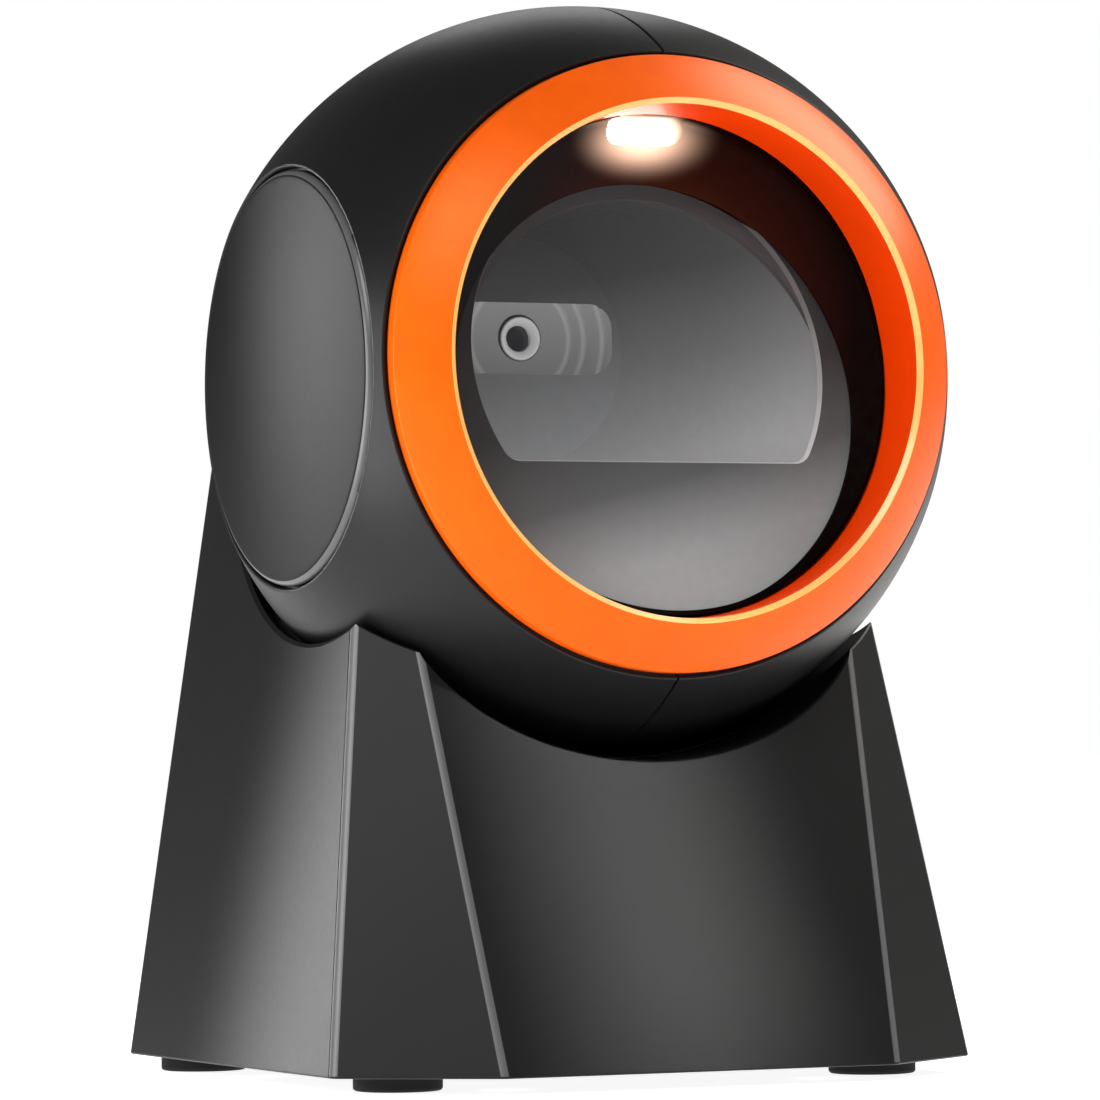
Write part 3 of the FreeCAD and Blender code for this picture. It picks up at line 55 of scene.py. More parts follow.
FORWARD = Matrix(((1, 0, 0, 0), (0, 0, -1, 0), (0, 1, 0, 0), (0, 0, 0, 1)))
MIRROR = Matrix.Scale(-1, 4, Vector((1, 0, 0)))


# ------------------------------------------------------------------- camera

def aim(azimuth, elevation, roll, distance, target, lens):
    """A camera on the ray that leaves the target at these angles, in degrees and metres."""
    a, e, r = (math.radians(angle) for angle in (azimuth, elevation, roll))
    back = Vector((math.sin(a) * math.cos(e), -math.cos(a) * math.cos(e), math.sin(e)))
    level = Vector((math.cos(a), math.sin(a), 0))
    above = back.cross(level)
    right = level * math.cos(r) + above * math.sin(r)
    up = back.cross(right)
    data = bpy.data.cameras.new("camera")
    data.sensor_width = 36
    data.lens = lens
    data.clip_start = 0.05
    data.clip_end = 50
    camera = bpy.data.objects.new("camera", data)
    bpy.context.scene.collection.objects.link(camera)
    turn = Matrix((right, up, back)).transposed().to_4x4()
    camera.matrix_world = Matrix.Translation(target + back * distance) @ turn
    bpy.context.scene.camera = camera


aim(azimuth=-25.624, elevation=-1.575, roll=-0.572, distance=0.8825,
    target=Vector((-3.124, -5.945, 73.71)) * MM, lens=205.45)


# ------------------------------------------------------------ mesh building

def rounded(corners, steps=4):
    """A closed outline of (across, along) corners; a third number rounds that corner."""
    points = []
    for number, corner in enumerate(corners):
        here = Vector(corner[:2])
        if len(corner) < 3:
            points.append(here)
            continue
        before = Vector(corners[number - 1][:2]) - here
        after = Vector(corners[(number + 1) % len(corners)][:2]) - here
        before.normalize()
        after.normalize()
        half = before.angle(after) / 2
        reach = corner[2] / math.tan(half)
        centre = here + (before + after).normalized() * (corner[2] / math.sin(half))
        first = here + before * reach - centre
        last = here + after * reach - centre
        for step in range(steps + 1):
            spoke = first.lerp(last, step / steps).normalized() * corner[2]
            points.append(centre + spoke)
    return points


def arc(centre, radius, start, end, steps):
    """Points on a circle about (across, along) between two angles in degrees."""
    angles = [math.radians(start + (end - start) * step / steps) for step in range(steps + 1)]
    return [(centre[0] + radius * math.cos(angle), centre[1] + radius * math.sin(angle))
            for angle in angles]


def make_object(name, verts, faces, matrix=PART):
    """A mesh object from points in millimetres, with its faces turned outwards."""
    mesh = bpy.data.meshes.new(name)
    mesh.from_pydata([Vector(v) for v in verts], [], faces)
    mesh.transform(Matrix.Scale(MM, 4) @ matrix)
    shape = bmesh.new()
    shape.from_mesh(mesh)
    bmesh.ops.recalc_face_normals(shape, faces=shape.faces)
    shape.to_mesh(mesh)
    shape.free()
    obj = bpy.data.objects.new(name, mesh)
    bpy.context.scene.collection.objects.link(obj)
    return obj


def rings(name, loops, matrix=PART, closed=True):
    """A skin over loops of equally many points; open ends are closed with one face."""
    count = len(loops[0])
    verts = [point for loop in loops for point in loop]
    faces = []
    for number in range(len(loops) if closed else len(loops) - 1):
        low = number * count
        high = (number + 1) % len(loops) * count
        for step in range(count):
            turn = (step + 1) % count
            faces.append((low + step, low + turn, high + turn, high + step))
    if not closed:
        faces.append(tuple(range(count)))
        faces.append(tuple(range((len(loops) - 1) * count, len(loops) * count)))
    return make_object(name, verts, faces, matrix)


def lathe(name, profile, matrix, steps=192):
    """A solid of revolution about z of a closed (radius, height) profile.

    Points on the axis close the solid with a pole."""
    verts = []
    loops = []
    for radius, height in profile:
        if radius < 1e-6:
            loops.append([len(verts)])
            verts.append((0, 0, height))
            continue
        loops.append(list(range(len(verts), len(verts) + steps)))
        for step in range(steps):
            angle = 2 * math.pi * step / steps
            verts.append((radius * math.cos(angle), radius * math.sin(angle), height))
    faces = []
    for low, high in zip(loops, loops[1:] + loops[:1]):
        if len(low) == 1 and len(high) == 1:
            continue
        for step in range(steps):
            turn = (step + 1) % steps
            corners = [low[step % len(low)], low[turn % len(low)],
                       high[turn % len(high)], high[step % len(high)]]
            faces.append(tuple(dict.fromkeys(corners)))
    return make_object(name, verts, faces, matrix)


def prism(name, outline, low, high, matrix=PART):
    """A solid between two levels of z with the same flat outline."""
    loops = [[(x, y, level) for x, y in outline] for level in (low, high)]
    return rings(name, loops, matrix, closed=False)


def box(name, low, high, matrix=PART):
    """A block between two opposite corners."""
    outline = [(low[0], low[1]), (high[0], low[1]), (high[0], high[1]), (low[0], high[1])]
    return prism(name, outline, low[2], high[2], matrix)


def combine(obj, operation, *tools):
    """Cut, join or intersect with each tool in turn; the tools are used up."""
    for tool in tools:
        step = obj.modifiers.new("combine", "BOOLEAN")
        step.operation = operation
        step.solver = "EXACT"
        step.object = tool
        bpy.context.view_layer.update()
        graph = bpy.context.evaluated_depsgraph_get()
        mesh = bpy.data.meshes.new_from_object(obj.evaluated_get(graph))
        obj.modifiers.clear()
        obj.data = mesh
        bpy.data.objects.remove(tool)
    return obj


def shade(obj, angle=32, ball=None):
    """Corner normals: averaged by area over faces that meet under the angle, and exact
    on the faces that lie on the ball, given as its centre and radius in metres."""
    mesh = obj.data
    faces = len(mesh.polygons)
    normals = np.empty(faces * 3)
    areas = np.empty(faces)
    centres = np.empty(faces * 3)
    mesh.polygons.foreach_get("normal", normals)
    mesh.polygons.foreach_get("area", areas)
    mesh.polygons.foreach_get("center", centres)
    normals = normals.reshape(-1, 3)
    centres = centres.reshape(-1, 3)
    points = np.empty(len(mesh.vertices) * 3)
    mesh.vertices.foreach_get("co", points)
    points = points.reshape(-1, 3)
    on_ball = np.zeros(faces, bool)
    if ball is not None:
        away = np.linalg.norm(centres - np.array(ball[0]), axis=1)
        outward = np.einsum("ij,ij->i", centres - np.array(ball[0]), normals)
        on_ball = (abs(away - ball[1]) < 0.0001) & (outward > 0.99 * away)
    around = [[] for _ in mesh.vertices]
    for face in mesh.polygons:
        for vertex in face.vertices:
            around[vertex].append(face.index)
    limit = math.cos(math.radians(angle))
    weighted = normals * areas[:, None]
    corners = []
    for face in mesh.polygons:
        for vertex in face.vertices:
            if on_ball[face.index]:
                normal = points[vertex] - np.array(ball[0])
            else:
                near = around[vertex]
                alike = [i for i in near if normals[i] @ normals[face.index] > limit]
                normal = weighted[alike].sum(axis=0)
            corners.append(normal / (np.linalg.norm(normal) + 1e-12))
    mesh.polygons.foreach_set("use_smooth", [True] * faces)
    mesh.normals_split_custom_set(corners)
    return obj


# ---------------------------------------------------------------- materials

class Nodes:
    """A material's node tree, with short calls for the nodes that are used here."""

    def __init__(self, name):
        self.material = bpy.data.materials.new(name)
        self.material.use_nodes = True
        self.tree = self.material.node_tree
        self.shader = self.tree.nodes["Principled BSDF"]
        self.place = self.add("ShaderNodeTexCoord").outputs["Object"]

    def add(self, kind, **settings):
        node = self.tree.nodes.new(kind)
        for key, value in settings.items():
            setattr(node, key, value)
        return node

    def link(self, source, target):
        self.tree.links.new(source, target)

    def noise(self, scale, detail=3, roughness=0.5, stretch=None):
        place = self.place
        if stretch:
            mapping = self.add("ShaderNodeMapping")
            mapping.inputs["Scale"].default_value = stretch
            self.link(place, mapping.inputs["Vector"])
            place = mapping.outputs["Vector"]
        node = self.add("ShaderNodeTexNoise")
        node.inputs["Scale"].default_value = scale
        node.inputs["Detail"].default_value = detail
        node.inputs["Roughness"].default_value = roughness
        self.link(place, node.inputs["Vector"])
        return node.outputs["Fac"]

    def spread(self, source, low, high, source_low=0.3, source_high=0.7):
        """The source's range carried over to the range from low to high."""
        node = self.add("ShaderNodeMapRange", clamp=True)
        node.inputs["From Min"].default_value = source_low
        node.inputs["From Max"].default_value = source_high
        node.inputs["To Min"].default_value = low
        node.inputs["To Max"].default_value = high
        self.link(source, node.inputs["Value"])
        return node.outputs["Result"]

    def blend(self, share, first, second):
        """A colour between two, each a colour or a socket, by a socket from 0 to 1."""
        node = self.add("ShaderNodeMix", data_type="RGBA")
        self.link(share, node.inputs["Factor"])
        for name, colour in (("A", first), ("B", second)):
            socket = next(s for s in node.inputs if s.name == name and s.type == "RGBA")
            if hasattr(colour, "node"):
                self.link(colour, socket)
            else:
                socket.default_value = (*colour, 1)
        return next(s for s in node.outputs if s.type == "RGBA")

    def ramp(self, share, stops):
        node = self.add("ShaderNodeValToRGB")
        bar = node.color_ramp
        while len(bar.elements) < len(stops):
            bar.elements.new(1)
        for element, (position, colour) in zip(bar.elements, stops):
            element.position = position
            element.color = (*colour, 1)
        self.link(share, node.inputs["Fac"])
        return node.outputs["Color"]

    def axes(self):
        """The object's coordinates apart, as sockets named X, Y and Z."""
        node = self.add("ShaderNodeSeparateXYZ")
        self.link(self.place, node.inputs["Vector"])
        return node.outputs

    def distance(self, point, squeeze):
        """How far a point in millimetres is, with each axis weighted by the squeeze."""
        weighted = self.add("ShaderNodeVectorMath", operation="MULTIPLY")
        self.link(self.place, weighted.inputs[0])
        weighted.inputs[1].default_value = squeeze
        reach = self.add("ShaderNodeVectorMath", operation="DISTANCE")
        self.link(weighted.outputs["Vector"], reach.inputs[0])
        reach.inputs[1].default_value = point * MM
        return reach.outputs["Value"]

    def fine_grain(self, scale=700):
        """Small even noise from 0 to 1."""
        return self.spread(self.noise(scale, 3), 0, 1)

    def worn_and_highlit(self, low=0.52, high=0.62):
        """How far a point is on a sharp edge. Such edges are painted lighter: a painted highlight
        that also stands for rubbing wear.
        """
        node = self.add("ShaderNodeNewGeometry")
        return self.spread(node.outputs["Pointiness"], 0, 1, low, high)

    def bump(self, source, strength, distance):
        node = self.add("ShaderNodeBump")
        node.inputs["Strength"].default_value = strength
        node.inputs["Distance"].default_value = distance * MM
        self.link(source, node.inputs["Height"])
        self.link(node.outputs["Normal"], self.shader.inputs["Normal"])

    def colour(self, source):
        self.link(source, self.shader.inputs["Base Color"])

    def rough(self, source):
        self.link(source, self.shader.inputs["Roughness"])

    def put(self, **values):
        for key, value in values.items():
            self.shader.inputs[key.replace("_", " ")].default_value = value


def tint(colour, share):
    return tuple(channel * share for channel in colour)


def moulded(name, colour, rough=0.45, grain=0.25, texture=0.12, wear_and_highlight=1.5, specular=0.5):
    """Moulded plastic: spark-eroded grain, slow shade changes, and sharp edges painted lighter, a
    painted highlight that also stands for rubbing wear.
    """
    n = Nodes(name)
    cloudy = n.spread(n.noise(260, 3), 0, 1)
    body = n.blend(cloudy, tint(colour, 0.95), tint(colour, 1.05))
    # sharp edges painted lighter: a painted highlight, also standing for rubbing wear
    n.colour(n.blend(n.worn_and_highlit(), body, tuple(min(1, c * wear_and_highlight) for c in colour)))
    n.rough(n.spread(n.noise(900, 3, 0.6), rough - 0.015, rough + 0.015))
    n.bump(n.noise(1 / (grain * MM), 2, 0.55), texture, 0.05)
    n.put(Specular_IOR_Level=specular)
    return n


def metal(name, colour, rough, brushed):
    """Plated or turned metal with fine lines along one way."""
    n = Nodes(name)
    lines = n.noise(900, 3, 0.6, brushed)
    n.colour(n.blend(lines, tint(colour, 0.8), colour))
    n.rough(n.spread(lines, rough - 0.08, rough + 0.1))
    n.bump(lines, 0.08, 0.03)
    n.put(Metallic=1.0)
    return n


CHARCOAL = (0.005, 0.005, 0.0052)
ORANGE = (0.78, 0.094, 0.001)
made = {}


def keep_material(slot, nodes):
    made[slot] = nodes.material
    return nodes


keep_material("head_black", moulded("head_black", CHARCOAL, 0.40, texture=0.05, specular=0.25))
keep_material("base_black", moulded("base_black", CHARCOAL, 0.40, texture=0.05, specular=0.25))
# a lighter copy of the base plastic: a painted highlight for the rounded upright edges, also
# standing for rubbing wear
rubbed_edge_highlight = moulded("base_black_rubbed_highlight", (0.075, 0.075, 0.078), 0.35).material
keep_material("cover_black", moulded("cover_black", CHARCOAL, 0.38, texture=0.04, specular=0.09))
# a lighter copy of the cover plastic: a painted highlight for the cover's rounded rim
cover_rim_highlight = moulded("cover_black_rim_highlight", (0.07, 0.07, 0.073), 0.3).material
ring_plastic = moulded("bezel_orange", ORANGE, 0.36, 0.3, 0.05, 1.1, 0.4)
ring_plastic.put(Specular_Tint=(1.0, 0.6, 0.25, 1))
keep_material("bezel_orange", ring_plastic)
# a darker red copy for the bore: painted shade inside the ring
bore_orange_shade = moulded("bezel_orange_bore_shade", (0.86, 0.05, 0.0), 0.4, 0.3, 0.06, 1.1, 0.1).material
# a pale orange copy for the fine bevel at the bore's front edge: a painted highlight
bevel_orange_highlight = moulded("bezel_orange_bevel_highlight", (1.0, 0.48, 0.13), 0.25, 0.3, 0.04, 1.1).material
keep_material("gasket_foam", moulded("gasket_foam", (0.05, 0.05, 0.052), 0.9, 0.5, 0.6))
keep_material("engine_dark", moulded("engine_dark", (0.03, 0.03, 0.032), 0.5))
keep_material("chip_black", moulded("chip_black", (0.02, 0.02, 0.022), 0.55, 0.15, 0.2))
keep_material("connector_white", moulded("connector_white", (0.7, 0.68, 0.6), 0.4))
keep_material("jack_plastic", moulded("jack_plastic", (0.02, 0.02, 0.02), 0.35))
keep_material("foot_rubber", moulded("foot_rubber", (0.012, 0.012, 0.012), 0.75, 0.2, 0.3, 1.3, 0.3))
keep_material("wire_black", moulded("wire_black", (0.02, 0.02, 0.02), 0.5, 0.4, 0.1))
keep_material("washer_nylon", moulded("washer_nylon", (0.6, 0.58, 0.52), 0.45, 0.3, 0.05))
keep_material("screw_steel", metal("screw_steel", (0.55, 0.55, 0.56), 0.3, (1, 1, 0.05)))
keep_material("ballast_steel", metal("ballast_steel", (0.35, 0.35, 0.36), 0.45, (0.05, 1, 1)))
keep_material("yoke_steel", metal("yoke_steel", (0.45, 0.45, 0.46), 0.38, (1, 1, 0.05)))
keep_material("contact_gold", metal("contact_gold", (0.8, 0.55, 0.2), 0.25, (1, 0.05, 1)))


def board_green():
    """Solder mask with faint tracks under it."""
    n = Nodes("pcb_green")
    tracks = n.add("ShaderNodeTexBrick")
    tracks.inputs["Scale"].default_value = 420
    tracks.inputs["Mortar Size"].default_value = 0.012
    tracks.inputs["Color1"].default_value = (0.01, 0.09, 0.035, 1)
    tracks.inputs["Color2"].default_value = (0.012, 0.11, 0.04, 1)
    tracks.inputs["Mortar"].default_value = (0.02, 0.16, 0.06, 1)
    n.link(n.place, tracks.inputs["Vector"])
    n.colour(tracks.outputs["Color"])
    n.rough(n.spread(n.noise(220), 0.28, 0.42))
    n.bump(tracks.outputs["Fac"], 0.1, 0.03)
    return n


keep_material("pcb_green", board_green())


GRAIN_LIFT = 1.06


def graded(name, stops, rough, low, high, lean=0.0, cast=(1, 1, 1)):
    """Plastic with a shade that changes with height, and a little across.

    The change stands for the light that falls on it and shows in the window."""
    n = Nodes(name)
    split = n.axes()
    tilt = n.add("ShaderNodeMath", operation="MULTIPLY_ADD")
    tilt.inputs[1].default_value = lean
    n.link(split["X"], tilt.inputs[0])
    n.link(split["Z"], tilt.inputs[2])
    height = n.spread(tilt.outputs["Value"], 0, 1, low * MM, high * MM)
    plain = n.ramp(height, [(at, tint(cast, level)) for at, level in stops])
    grain = n.fine_grain()
    lighter = n.ramp(height, [(at, tint(cast, level * GRAIN_LIFT)) for at, level in stops])
    speckled = n.blend(grain, plain, lighter)
    n.colour(speckled)
    n.rough(n.spread(grain, rough - 0.04, rough + 0.04))
    n.bump(grain, 0.04, 0.03)
    # the painted shade also glows: painted light
    n.link(speckled, n.shader.inputs["Emission Color"])
    return n


# Each list of stops runs from the low to the high height, as (share of the way, grey).
MASK_STOPS = [(0, 0.34), (0.16, 0.25), (0.32, 0.08), (0.5, 0.03), (1, 0.015)]
MASK_EDGE_STOPS = [(0, 0.6), (0.3, 0.5), (0.42, 0.3), (0.6, 0.12), (1, 0.03)]
CHAMBER_STOPS = [(0, 0.38), (0.35, 0.2), (0.7, 0.075), (1, 0.045)]

mask = keep_material("mask_grey", graded(
    "mask_grey", MASK_STOPS, rough=0.6, low=62, high=125, lean=-0.25, cast=(0.98, 1.0, 1.01)))
mask.put(Emission_Strength=0.4, Specular_IOR_Level=0.1)
# a lighter graded copy for the edge of the mask's opening: a painted highlight
mask_rim = graded("mask_edge_highlight", MASK_EDGE_STOPS, rough=0.5, low=62, high=125, lean=-0.25)
mask_rim.put(Emission_Strength=0.5)
mask_edge_highlight = mask_rim.material
chamber = keep_material("chamber_grey", graded(
    "chamber_grey", CHAMBER_STOPS, rough=0.6, low=84, high=122, lean=-0.2, cast=(0.98, 1.0, 1.02)))
chamber.put(Emission_Strength=0.45, Specular_IOR_Level=0.1)


FACE_ON = (1, 0, 1)


def grey(level):
    return (level, level, level)


def engine_face():
    """Grey plastic with three moulded ridges around the lens. Lighter towards the top, and painted
    lighter on the ridges' crests, a painted highlight; the face glows faintly with its own colour,
    painted light.
    """
    n = Nodes("engine_grey")
    height = n.spread(n.axes()["Z"], 0, 1, 0.099, 0.111)
    share = n.spread(n.distance(LENS, FACE_ON), 0, 1, 0.006, 0.016)
    crests = [(0, 0), (0.12, 0), (0.17, 1), (0.25, 0), (0.36, 0), (0.41, 1), (0.49, 0),
              (0.66, 0), (0.71, 1), (0.79, 0), (1, 0)]
    ridge = n.ramp(share, [(at, grey(level)) for at, level in crests])
    plain = n.ramp(height, [(0, grey(0.27)), (1, grey(0.44))])
    crest = n.ramp(height, [(0, grey(0.42)), (1, grey(0.62))])
    tone = n.blend(ridge, plain, crest)
    n.colour(tone)
    n.link(tone, n.shader.inputs["Emission Color"])
    n.rough(n.spread(n.fine_grain(), 0.36, 0.44))
    n.bump(ridge, 0.3, 0.1)
    n.put(Emission_Strength=0.3)
    return n


keep_material("engine_grey", engine_face())


HALF_ACROSS = (0.5, 1, 1)
GLOW_FALL = 3.2
GLOW_STRENGTH = 4


def hood_plastic():
    """Matt black with a red tinge, lighter and redder further back; painted lighter grey towards the
    left, a painted highlight; and a painted warm glow close to the lamp, standing for its light.
    """
    n = Nodes("hood_black")
    split = n.axes()
    depth = n.spread(split["Y"], 0, 1, -0.040, -0.028)
    tone = n.ramp(depth, [(0, (0.0016, 0.0003, 0.0002)), (0.55, (0.003, 0.0004, 0.0002)),
                          (0.9, (0.02, 0.003, 0.001)), (1, (0.03, 0.006, 0.002))])
    side = n.spread(split["X"], 0, 1, -0.022, 0.004)
    n.colour(n.blend(side, (0.011, 0.012, 0.0125), tone))
    grain = n.fine_grain()
    n.rough(n.spread(grain, 0.6, 0.7))
    n.bump(grain, 0.06, 0.03)
    near = n.spread(n.distance(HEAD @ LAMP, HALF_ACROSS), 1, 0, 0.0025, 0.0078)
    fall = n.add("ShaderNodeMath", operation="POWER")
    n.link(near, fall.inputs[0])
    fall.inputs[1].default_value = GLOW_FALL
    lit = n.spread(fall.outputs["Value"], 0, GLOW_STRENGTH, 0, 1)
    n.link(lit, n.shader.inputs["Emission Strength"])
    n.put(Emission_Color=(1.0, 0.6, 0.42, 1), Specular_IOR_Level=0.03)
    return n


keep_material("hood_black", hood_plastic())


def lens_barrel():
    """Black barrel whose inner cone is painted light grey, a painted highlight, and glows faintly
    with that grey, painted light.
    """
    n = Nodes("lens_black")
    share = n.spread(n.distance(LENS, FACE_ON), 0, 1, 0.0015, 0.0035)
    tone = n.ramp(share, [(0, grey(0.02)), (0.14, grey(0.03)), (0.24, grey(0.34)),
                          (0.72, grey(0.5)), (0.84, grey(0.03)), (1, grey(0.015))])
    grain = n.fine_grain(900)
    worn_and_highlit = n.blend(grain, tone, grey(0.05))
    n.link(tone, n.shader.inputs["Emission Color"])
    n.colour(n.blend(n.spread(grain, 0, 0.15), tone, worn_and_highlit))
    n.rough(n.spread(grain, 0.25, 0.35))
    n.put(Emission_Strength=0.8)
    return n


keep_material("lens_black", lens_barrel())


def window_glass():
    """A thin clear plate with a faint film of dust on it."""
    n = Nodes("window_glass")
    n.put(Alpha=0.1)
    dust = n.spread(n.noise(90, 4, 0.6), 0, 1)
    n.colour(n.blend(dust, (0.02, 0.02, 0.021), (0.03, 0.03, 0.031)))
    n.rough(n.spread(n.noise(60, 4, 0.6), 0.05, 0.12))
    return n


def lens_clear():
    """Dark coated glass."""
    n = Nodes("lens_clear")
    n.put(Coat_Weight=1.0, Coat_Roughness=0.02)
    n.colour(n.blend(n.spread(n.noise(300), 0, 1), (0.05, 0.05, 0.055), (0.075, 0.07, 0.08)))
    n.rough(n.spread(n.noise(200), 0.03, 0.08))
    return n


keep_material("window_glass", window_glass())
keep_material("lens_clear", lens_clear())


ROUGH_SWING = 0.05


def glowing(name, colour, strength, rough):
    """A lit surface, slightly uneven."""
    n = Nodes(name)
    warm = n.blend(n.spread(n.noise(400, 2), 0, 1), colour, tint(colour, 0.9))
    n.colour(warm)
    n.link(warm, n.shader.inputs["Emission Color"])
    n.rough(n.spread(n.noise(300), rough - ROUGH_SWING, rough + ROUGH_SWING))
    n.put(Emission_Strength=strength)
    return n


keep_material("lamp_white", glowing("lamp_white", (1.0, 0.93, 0.82), 7, 0.3))
keep_material("led_yellow", glowing("led_yellow", (1.0, 0.75, 0.3), 4, 0.4))

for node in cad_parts.values():
    for material_slot in node.material_slots:
        material_slot.material = made[material_slot.material.name]


# -------------------------------------------------------------- own pieces

HEAD_NODES = ("head_shell_left", "head_shell_right", "side_cover_left", "side_cover_right",
              "bezel_ring", "window_hood", "lamp_lens", "window_mask", "scan_window")
BASE_NODES = ("base_front_shell", "base_rear_shell", "rubber_feet")
BODY_OF = dict.fromkeys(HEAD_NODES, "head") | dict.fromkeys(BASE_NODES, "base")


def stand_for(obj, node, slot):
    """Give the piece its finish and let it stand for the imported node."""
    if not obj.data.materials:
        obj.data.materials.append(made[slot])
    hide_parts(node)
    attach(obj, BODY_OF[node])


def mirrored(name, obj):
    """The same mesh on the other side of x = 0."""
    mesh = obj.data.copy()
    mesh.transform(MIRROR)
    mesh.flip_normals()
    twin = bpy.data.objects.new(name, mesh)
    bpy.context.scene.collection.objects.link(twin)
    return twin


# -------------------------------------------------------------- head shells

SEAM_HALF = 0.12
BALL_WALL = 2.4
BALL_IN = BALL_RADIUS - BALL_WALL
CHEEK = 29.0
COVER_RADIUS = 28.65
LEDGE = 42.4
LEDGE_IN = 40.4
WELL = 13
WELL_WALL = 15
WELL_OUT = 38.9
WELL_IN = 36.9
PIVOT_BORE = 3.05
MOUTH = 42.5
RING_SEAT = 39.1
RING_SEAT_DEPTH = 30.0
RIB_INNER = 36.2
RIB_BACK = 23.4
RIB_FRONT = 25.4
SHELL_ROUND = 0.35
BEYOND = 60
ARM_SLOT = (30.1, 37.0)
ARM_SLOT_IN = 28.8
ARM_SLOT_OUT = 58


def on_sphere(radius, across):
    return math.sqrt(radius ** 2 - across ** 2)


def head_shell(name):
    """The right half of the ball: turned about X, then opened for the window."""
    outer = arc((0, 0), BALL_RADIUS, 1.4, math.degrees(math.acos((CHEEK + 1.1) / BALL_RADIUS)), 60)
    inner = arc((0, 0), BALL_IN, math.degrees(math.asin(LEDGE_IN / BALL_IN)),
                math.degrees(math.asin(SEAM_HALF / BALL_IN)), 40)
    profile = rounded(
        [(on_sphere(BALL_RADIUS, SEAM_HALF), SEAM_HALF, 0.22)]
        + outer
        + [(CHEEK, on_sphere(BALL_RADIUS, CHEEK), SHELL_ROUND),
           (CHEEK, LEDGE), (WELL, LEDGE), (WELL, WELL_OUT), (PIVOT_BORE, WELL_OUT),
           (PIVOT_BORE, WELL_IN), (WELL_WALL, WELL_IN), (WELL_WALL, LEDGE_IN)]
        + inner)
    shell = lathe(name, profile, HEAD @ ALONG_X, 256)
    centre_r = MOUTH + SHELL_ROUND
    centre_d = on_sphere(BALL_RADIUS - SHELL_ROUND, centre_r)
    lip = arc((centre_r, centre_d), SHELL_ROUND, 180, 50, 4)
    mouth = [(0, RIB_BACK), (RIB_INNER, RIB_BACK), (RIB_INNER, RIB_FRONT),
             (RING_SEAT, RIB_FRONT), (RING_SEAT, RING_SEAT_DEPTH), (MOUTH, RING_SEAT_DEPTH)]
    mouth += lip + [(centre_r + 2.0, centre_d + 0.5), (centre_r + 2.0, BEYOND), (0, BEYOND)]
    rib = lathe("rib", [(36.0, RIB_BACK), (47.2, RIB_BACK), (42.4, RING_SEAT_DEPTH),
                        (36.0, RING_SEAT_DEPTH)], HEAD @ FORWARD, 256)
    combine(rib, "INTERSECT", box("half", (SEAM_HALF, -BEYOND, -BEYOND), (BEYOND,) * 3, HEAD))
    pocket = lathe("pocket", [(0, LEDGE), (CHEEK, LEDGE), (CHEEK, BEYOND), (0, BEYOND)],
                   HEAD @ ALONG_X, 256)
    combine(rib, "DIFFERENCE", pocket)
    combine(shell, "UNION", rib)
    combine(shell, "DIFFERENCE", lathe("mouth", mouth, HEAD @ FORWARD, 288))
    sector = [(math.radians(angle), radius)
              for radius, angles in ((ARM_SLOT_IN, range(6, 59, 4)),
                                     (ARM_SLOT_OUT, range(58, 5, -4)))
              for angle in angles]
    outline = [(radius * math.sin(angle), -radius * math.cos(angle)) for angle, radius in sector]
    combine(shell, "DIFFERENCE", prism("slot", outline, *ARM_SLOT, HEAD @ ALONG_X))
    return shade(shell, ball=BALL_SURFACE)


BALL_SURFACE = (HEAD @ Vector() * MM, BALL_RADIUS * MM)
right_shell = head_shell("shell_right")
left_shell = mirrored("shell_left", right_shell)
shade(left_shell, ball=BALL_SURFACE)
stand_for(right_shell, "head_shell_right", "head_black")
stand_for(left_shell, "head_shell_left", "head_black")


# ------------------------------------------------------------- side covers

COVER_STEPS = 256
COVER_CURVE = 520
COVER_CROWN = 45.1
COVER_EDGE = 44.5
COVER_FLAT = 27.0


def paint(obj, segments, material, steps):
    """Give a lathed piece's faces over some segments of its profile their own finish."""
    obj.data.materials.append(material)
    for face in obj.data.polygons[segments[0] * steps:segments[1] * steps]:
        face.material_index = len(obj.data.materials) - 1


def side_cover(name):
    """A slightly domed disc with a soft rim."""
    face = arc((0, COVER_CROWN - COVER_CURVE), COVER_CURVE, 90,
               90 - math.degrees(math.asin(COVER_FLAT / COVER_CURVE)), 24)
    profile = rounded(face + [(COVER_RADIUS, COVER_EDGE - 0.2, 1.1), (COVER_RADIUS, LEDGE, 0.15),
                              (0, LEDGE)], 8)
    cover = lathe(name, profile, HEAD @ ALONG_X, COVER_STEPS)
    cover.data.materials.append(made["cover_black"])
    # the rounded rim takes the lighter copy, a painted highlight
    paint(cover, (27, 33), cover_rim_highlight, COVER_STEPS)
    return shade(cover)


right_cover = side_cover("cover_right")
left_cover = mirrored("cover_left", right_cover)
shade(left_cover)
stand_for(right_cover, "side_cover_right", "cover_black")
stand_for(left_cover, "side_cover_left", "cover_black")


# -------------------------------------------------------------- bezel ring

RING_STEPS = 320
RING_CREST = (35.7, 37.1)
RING_EDGE = (42.2, 32.2)
RING_FACE_CURVE = 34
RING_BORE_BACK = 34.6
RING_BORE_FRONT = (35.0, 36.5)
RING_STEP = (38.8, 30.2)
RING_BACK = 27.4


